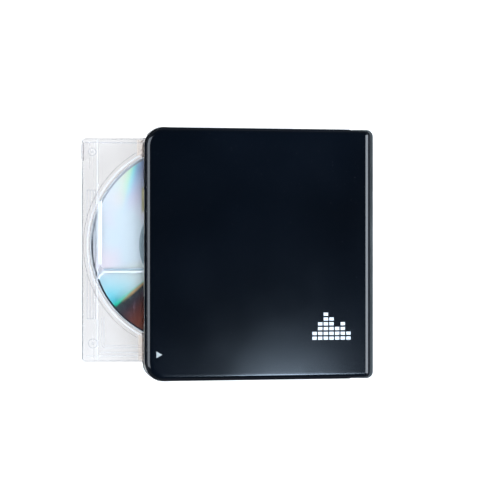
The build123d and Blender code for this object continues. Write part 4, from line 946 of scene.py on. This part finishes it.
# ---- settings ----
def length_prop(name, description, metres):
    """Setting for a length."""
    return bpy.props.FloatProperty(name=name, description=description, unit="LENGTH", default=metres)


def plane_prop(name, description, metres):
    """Setting for a place or a size in a plane."""
    return bpy.props.FloatVectorProperty(name=name, description=description, size=2, unit="LENGTH", default=metres)


def angle_prop(name, description, degrees):
    """Setting for an angle."""
    return bpy.props.FloatProperty(name=name, description=description, subtype="ANGLE", default=math.radians(degrees))


def number_prop(name, description, default):
    """Setting for a strength, a roughness or another plain number."""
    return bpy.props.FloatProperty(name=name, description=description, default=default)


def direction_prop(name, description, default):
    """Setting for the way from the table's middle to a lamp."""
    return bpy.props.FloatVectorProperty(name=name, description=description, size=3, subtype="DIRECTION",
                                         default=default)


def colour_prop(name, description, default):
    """Setting for a colour."""
    return bpy.props.FloatVectorProperty(name=name, description=description, subtype="COLOR", default=default,
                                         min=0, max=1)


class LidSettings(bpy.types.PropertyGroup):
    """Sizes and colours of the lid and its printed marks."""

    colour: colour_prop("Lacquer", "Colour under the lid's clear coat", (0.0012, 0.0030, 0.0064))
    ink: colour_prop("Ink", "Colour of the printed triangle", (0.44, 0.465, 0.455))
    roughness: number_prop("Roughness", "Roughness of the lacquer", 0.12)
    edge_round: length_prop("Edge round", "Radius of the lid's top edge", 0.0023)
    front_lip: length_prop("Front lip", "How far the lid stands over the mouth's front", 0.0003)
    wall: length_prop("Wall", "Thickness of the lid's shell", 0.0011)
    front_corner: length_prop("Front corner", "Plan radius at the mouth side", 0.0063)
    back_corner: length_prop("Back corner", "Plan radius at the hinge side", 0.0022)
    mouth_margin: length_prop("Mouth margin", "Mouth beyond the cartridge, each side", 0.0013)
    ear_show: length_prop("Ear step", "How far the lid steps in over a hinge ear", 0.0006)
    ear_depth: length_prop("Ear notch", "How far the skirt steps in beside an ear", 0.00155)
    triangle: length_prop("Triangle", "Height of the play triangle", 0.0021)
    triangle_at: plane_prop("Triangle place", "Foot of the triangle on the lid", (-0.0348, -0.0323))
    meter_at: plane_prop("Meter place", "Corner of the level meter on the lid", (0.0165, -0.0280))
    meter_pitch: length_prop("Meter pitch", "Distance between the meter's bars", 0.0019)


class DiscSettings(bpy.types.PropertyGroup):
    """Sizes and finish of the disc."""

    bore: length_prop("Bore", "Radius of the disc's hole", 0.0055)
    roughness: number_prop("Roughness", "Roughness of the mirror", 0.32)
    shade: number_prop("Shade", "Brightness of the disc's colours", 0.82)


class CartridgeSettings(bpy.types.PropertyGroup):
    """Finish of the clear cartridge."""

    tint: colour_prop("Tint", "Colour of the clear plastic", (0.96, 0.915, 0.88))
    roughness: number_prop("Roughness", "Roughness of the shells", 0.05)


class CaseSettings(bpy.types.PropertyGroup):
    """Finish of the case."""

    colour: colour_prop("Case", "Colour of the moulded case", (0.020, 0.021, 0.024))
    roughness: number_prop("Roughness", "Roughness of the case", 0.42)


class ControlSettings(bpy.types.PropertyGroup):
    """Marks, grooves and thread of the controls and the drive."""

    mark_size: length_prop("Mark size", "Height of the marks on the keys", 0.0013)
    mark_proud: length_prop("Mark thickness", "How far the print stands out", 0.000015)
    jack_bore: length_prop("Jack bore", "Radius of the jack's bore", 0.00175)
    grip: length_prop("Grip", "Length of the door's finger grooves", 0.008)
    groove_width: length_prop("Groove width", "Width of one finger groove", 0.00045)
    groove_depth: length_prop("Groove depth", "Depth of one finger groove", 0.0003)
    thread_pitch: length_prop("Thread pitch", "Distance between the screw's crests", 0.0015)
    thread_starts: bpy.props.IntProperty(name="Thread starts", description="Starts of the thread", default=2)
    thread_depth: length_prop("Thread depth", "Depth of the thread", 0.00025)
    journal: length_prop("Journal", "Plain length at the screw's seat", 0.0021)


class StageSettings(bpy.types.PropertyGroup):
    """Floor, lights and camera."""

    floor_colour: colour_prop("Floor", "Colour of the floor", (0.6, 0.6, 0.6))
    floor_glow: number_prop("Floor glow", "Light added to the floor as seen", 0.75)
    mirror_glow: number_prop("Mirror glow", "Light added to the floor in reflections", 0.1)
    clear_glow: number_prop("Clear glow", "Light added to the floor through clear plastic", 0.33)
    flag_from: number_prop("Flag from", "Sine of the height where mirrored white starts to give way to dark", 0.0)
    flag_full: number_prop("Flag full", "Sine of the height from which no white is mirrored", 0.12)
    left_light: number_prop("Left light", "Brightness of the light at the mouth side", 5.0)
    right_light: number_prop("Right light", "Brightness of the light at the hinge side", 8.0)
    left_lean: angle_prop("Left lean", "Left light's angle from straight above", 41)
    right_lean: angle_prop("Right lean", "Right light's angle from straight above", 60)
    left_back: number_prop("Left back", "Left light's place towards the back", 0.16)
    left_size: plane_prop("Left size", "Width and depth of the left light", (0.80, 1.20))
    right_size: plane_prop("Right size", "Width and depth of the right light", (0.85, 0.90))
    window_size: plane_prop("Window size", "Width and depth of the window light", (0.08, 0.28))
    sill_size: plane_prop("Sill size", "Width and depth of the sill light", (0.08, 0.34))
    ceiling_strength: number_prop("Ceiling", "World light from straight above", 0.03)
    soft_strength: number_prop("Soft light", "Even world light on matt surfaces", 0.25)
    horizon_strength: number_prop("Horizon", "World light from the sides", 0.4)
    window_way: direction_prop("Window", "Direction of the small window light", (0.372, -0.212, 0.905))
    sill_way: direction_prop("Sill", "Direction of the light low behind the window", (0.352, -0.496, 0.794))
    sill_light: number_prop("Sill light", "Brightness of the light behind the window", 24.0)
    window_light: number_prop("Window light", "Brightness of the small window light", 8.0)
    lamp_colour: colour_prop("Lamp colour", "Colour of the two side lights", (0.80, 0.89, 1.0))
    window_colour: colour_prop("Window colour", "Colour of the window light", (0.62, 0.80, 1.0))
    lens: number_prop("Lens", "Focal length on a 36 mm sensor", 128.05)
    lean: angle_prop("Lean", "How far the camera leans over the mouth side", 1.05)
    distance: length_prop("Distance", "Camera over the table", 0.6)
    aim: plane_prop("Aim", "Camera's place over the table, across its axis", (-0.00216, 0.00134))


# ---- operators ----
class PLAYER_OT_lid(bpy.types.Operator):
    """Build the lid's glossy shell"""

    bl_idname = "player.lid"
    bl_label = "Lid shell"

    def execute(self, context):
        make_lid(context.scene.player_lid)
        return {"FINISHED"}


class PLAYER_OT_lid_marks(bpy.types.Operator):
    """Print the marks on the lid"""

    bl_idname = "player.lid_marks"
    bl_label = "Lid marks"

    def execute(self, context):
        make_lid_marks(context.scene.player_lid)
        return {"FINISHED"}


class PLAYER_OT_disc(bpy.types.Operator):
    """Build the disc"""

    bl_idname = "player.disc"
    bl_label = "Disc"

    def execute(self, context):
        make_disc(context.scene.player_disc)
        return {"FINISHED"}


class PLAYER_OT_cartridge(bpy.types.Operator):
    """Finish the clear cartridge"""

    bl_idname = "player.cartridge"
    bl_label = "Cartridge"

    def execute(self, context):
        make_cartridge(context.scene.player_cartridge)
        return {"FINISHED"}


class PLAYER_OT_case(bpy.types.Operator):
    """Finish the case, hinge frame, keys and knobs"""

    bl_idname = "player.case"
    bl_label = "Case and controls"

    def execute(self, context):
        make_case_finish(context.scene.player_case)
        return {"FINISHED"}


class PLAYER_OT_controls(bpy.types.Operator):
    """Add key marks, jack sleeve, grooved battery door and screw thread"""

    bl_idname = "player.controls"
    bl_label = "Marks, door and thread"

    def execute(self, context):
        settings = context.scene.player_controls
        make_control_marks(settings)
        make_jack_sleeve(settings)
        make_battery_door(settings, context.scene.player_case)
        make_lead_thread(settings)
        return {"FINISHED"}


class PLAYER_OT_deck(bpy.types.Operator):
    """Finish the deck, drive and board"""

    bl_idname = "player.deck"
    bl_label = "Deck and drive"

    def execute(self, context):
        make_deck_finish()
        return {"FINISHED"}


class PLAYER_OT_stage(bpy.types.Operator):
    """Set the floor, lights, world and camera"""

    bl_idname = "player.stage"
    bl_label = "Stage"

    def execute(self, context):
        for make in (make_floor, make_lamps, make_world, make_camera):
            make(context.scene.player_stage)
        return {"FINISHED"}


class PLAYER_PT_sidebar(bpy.types.Panel):
    """Lists the pieces and their settings"""

    bl_idname = "PLAYER_PT_sidebar"
    bl_label = "Disc player"
    bl_space_type = "VIEW_3D"
    bl_region_type = "UI"
    bl_category = "Disc player"

    def draw(self, context):
        for operator in OPERATORS:
            self.layout.operator(operator.bl_idname)
        for name in SETTINGS:
            box = self.layout.box()
            group = getattr(context.scene, name)
            for key in group.__annotations__:
                box.prop(group, key)


SETTINGS = {"player_lid": LidSettings, "player_disc": DiscSettings, "player_cartridge": CartridgeSettings,
            "player_case": CaseSettings, "player_controls": ControlSettings, "player_stage": StageSettings}
OPERATORS = (PLAYER_OT_stage, PLAYER_OT_case, PLAYER_OT_deck, PLAYER_OT_controls, PLAYER_OT_lid, PLAYER_OT_lid_marks,
             PLAYER_OT_disc, PLAYER_OT_cartridge)


def register():
    """Add the classes and their settings to Blender."""
    for kind in (*SETTINGS.values(), *OPERATORS, PLAYER_PT_sidebar):
        bpy.utils.register_class(kind)
    for name, kind in SETTINGS.items():
        setattr(bpy.types.Scene, name, bpy.props.PointerProperty(type=kind))


def unregister():
    """Take them out again."""
    for name in SETTINGS:
        delattr(bpy.types.Scene, name)
    for kind in (PLAYER_PT_sidebar, *reversed(OPERATORS), *reversed(list(SETTINGS.values()))):
        bpy.utils.unregister_class(kind)


def main():
    """Build everything in order."""
    register()
    for operator in OPERATORS:
        group, name = operator.bl_idname.split(".")
        getattr(getattr(bpy.ops, group), name)()


if __name__ == "__main__":
    main()
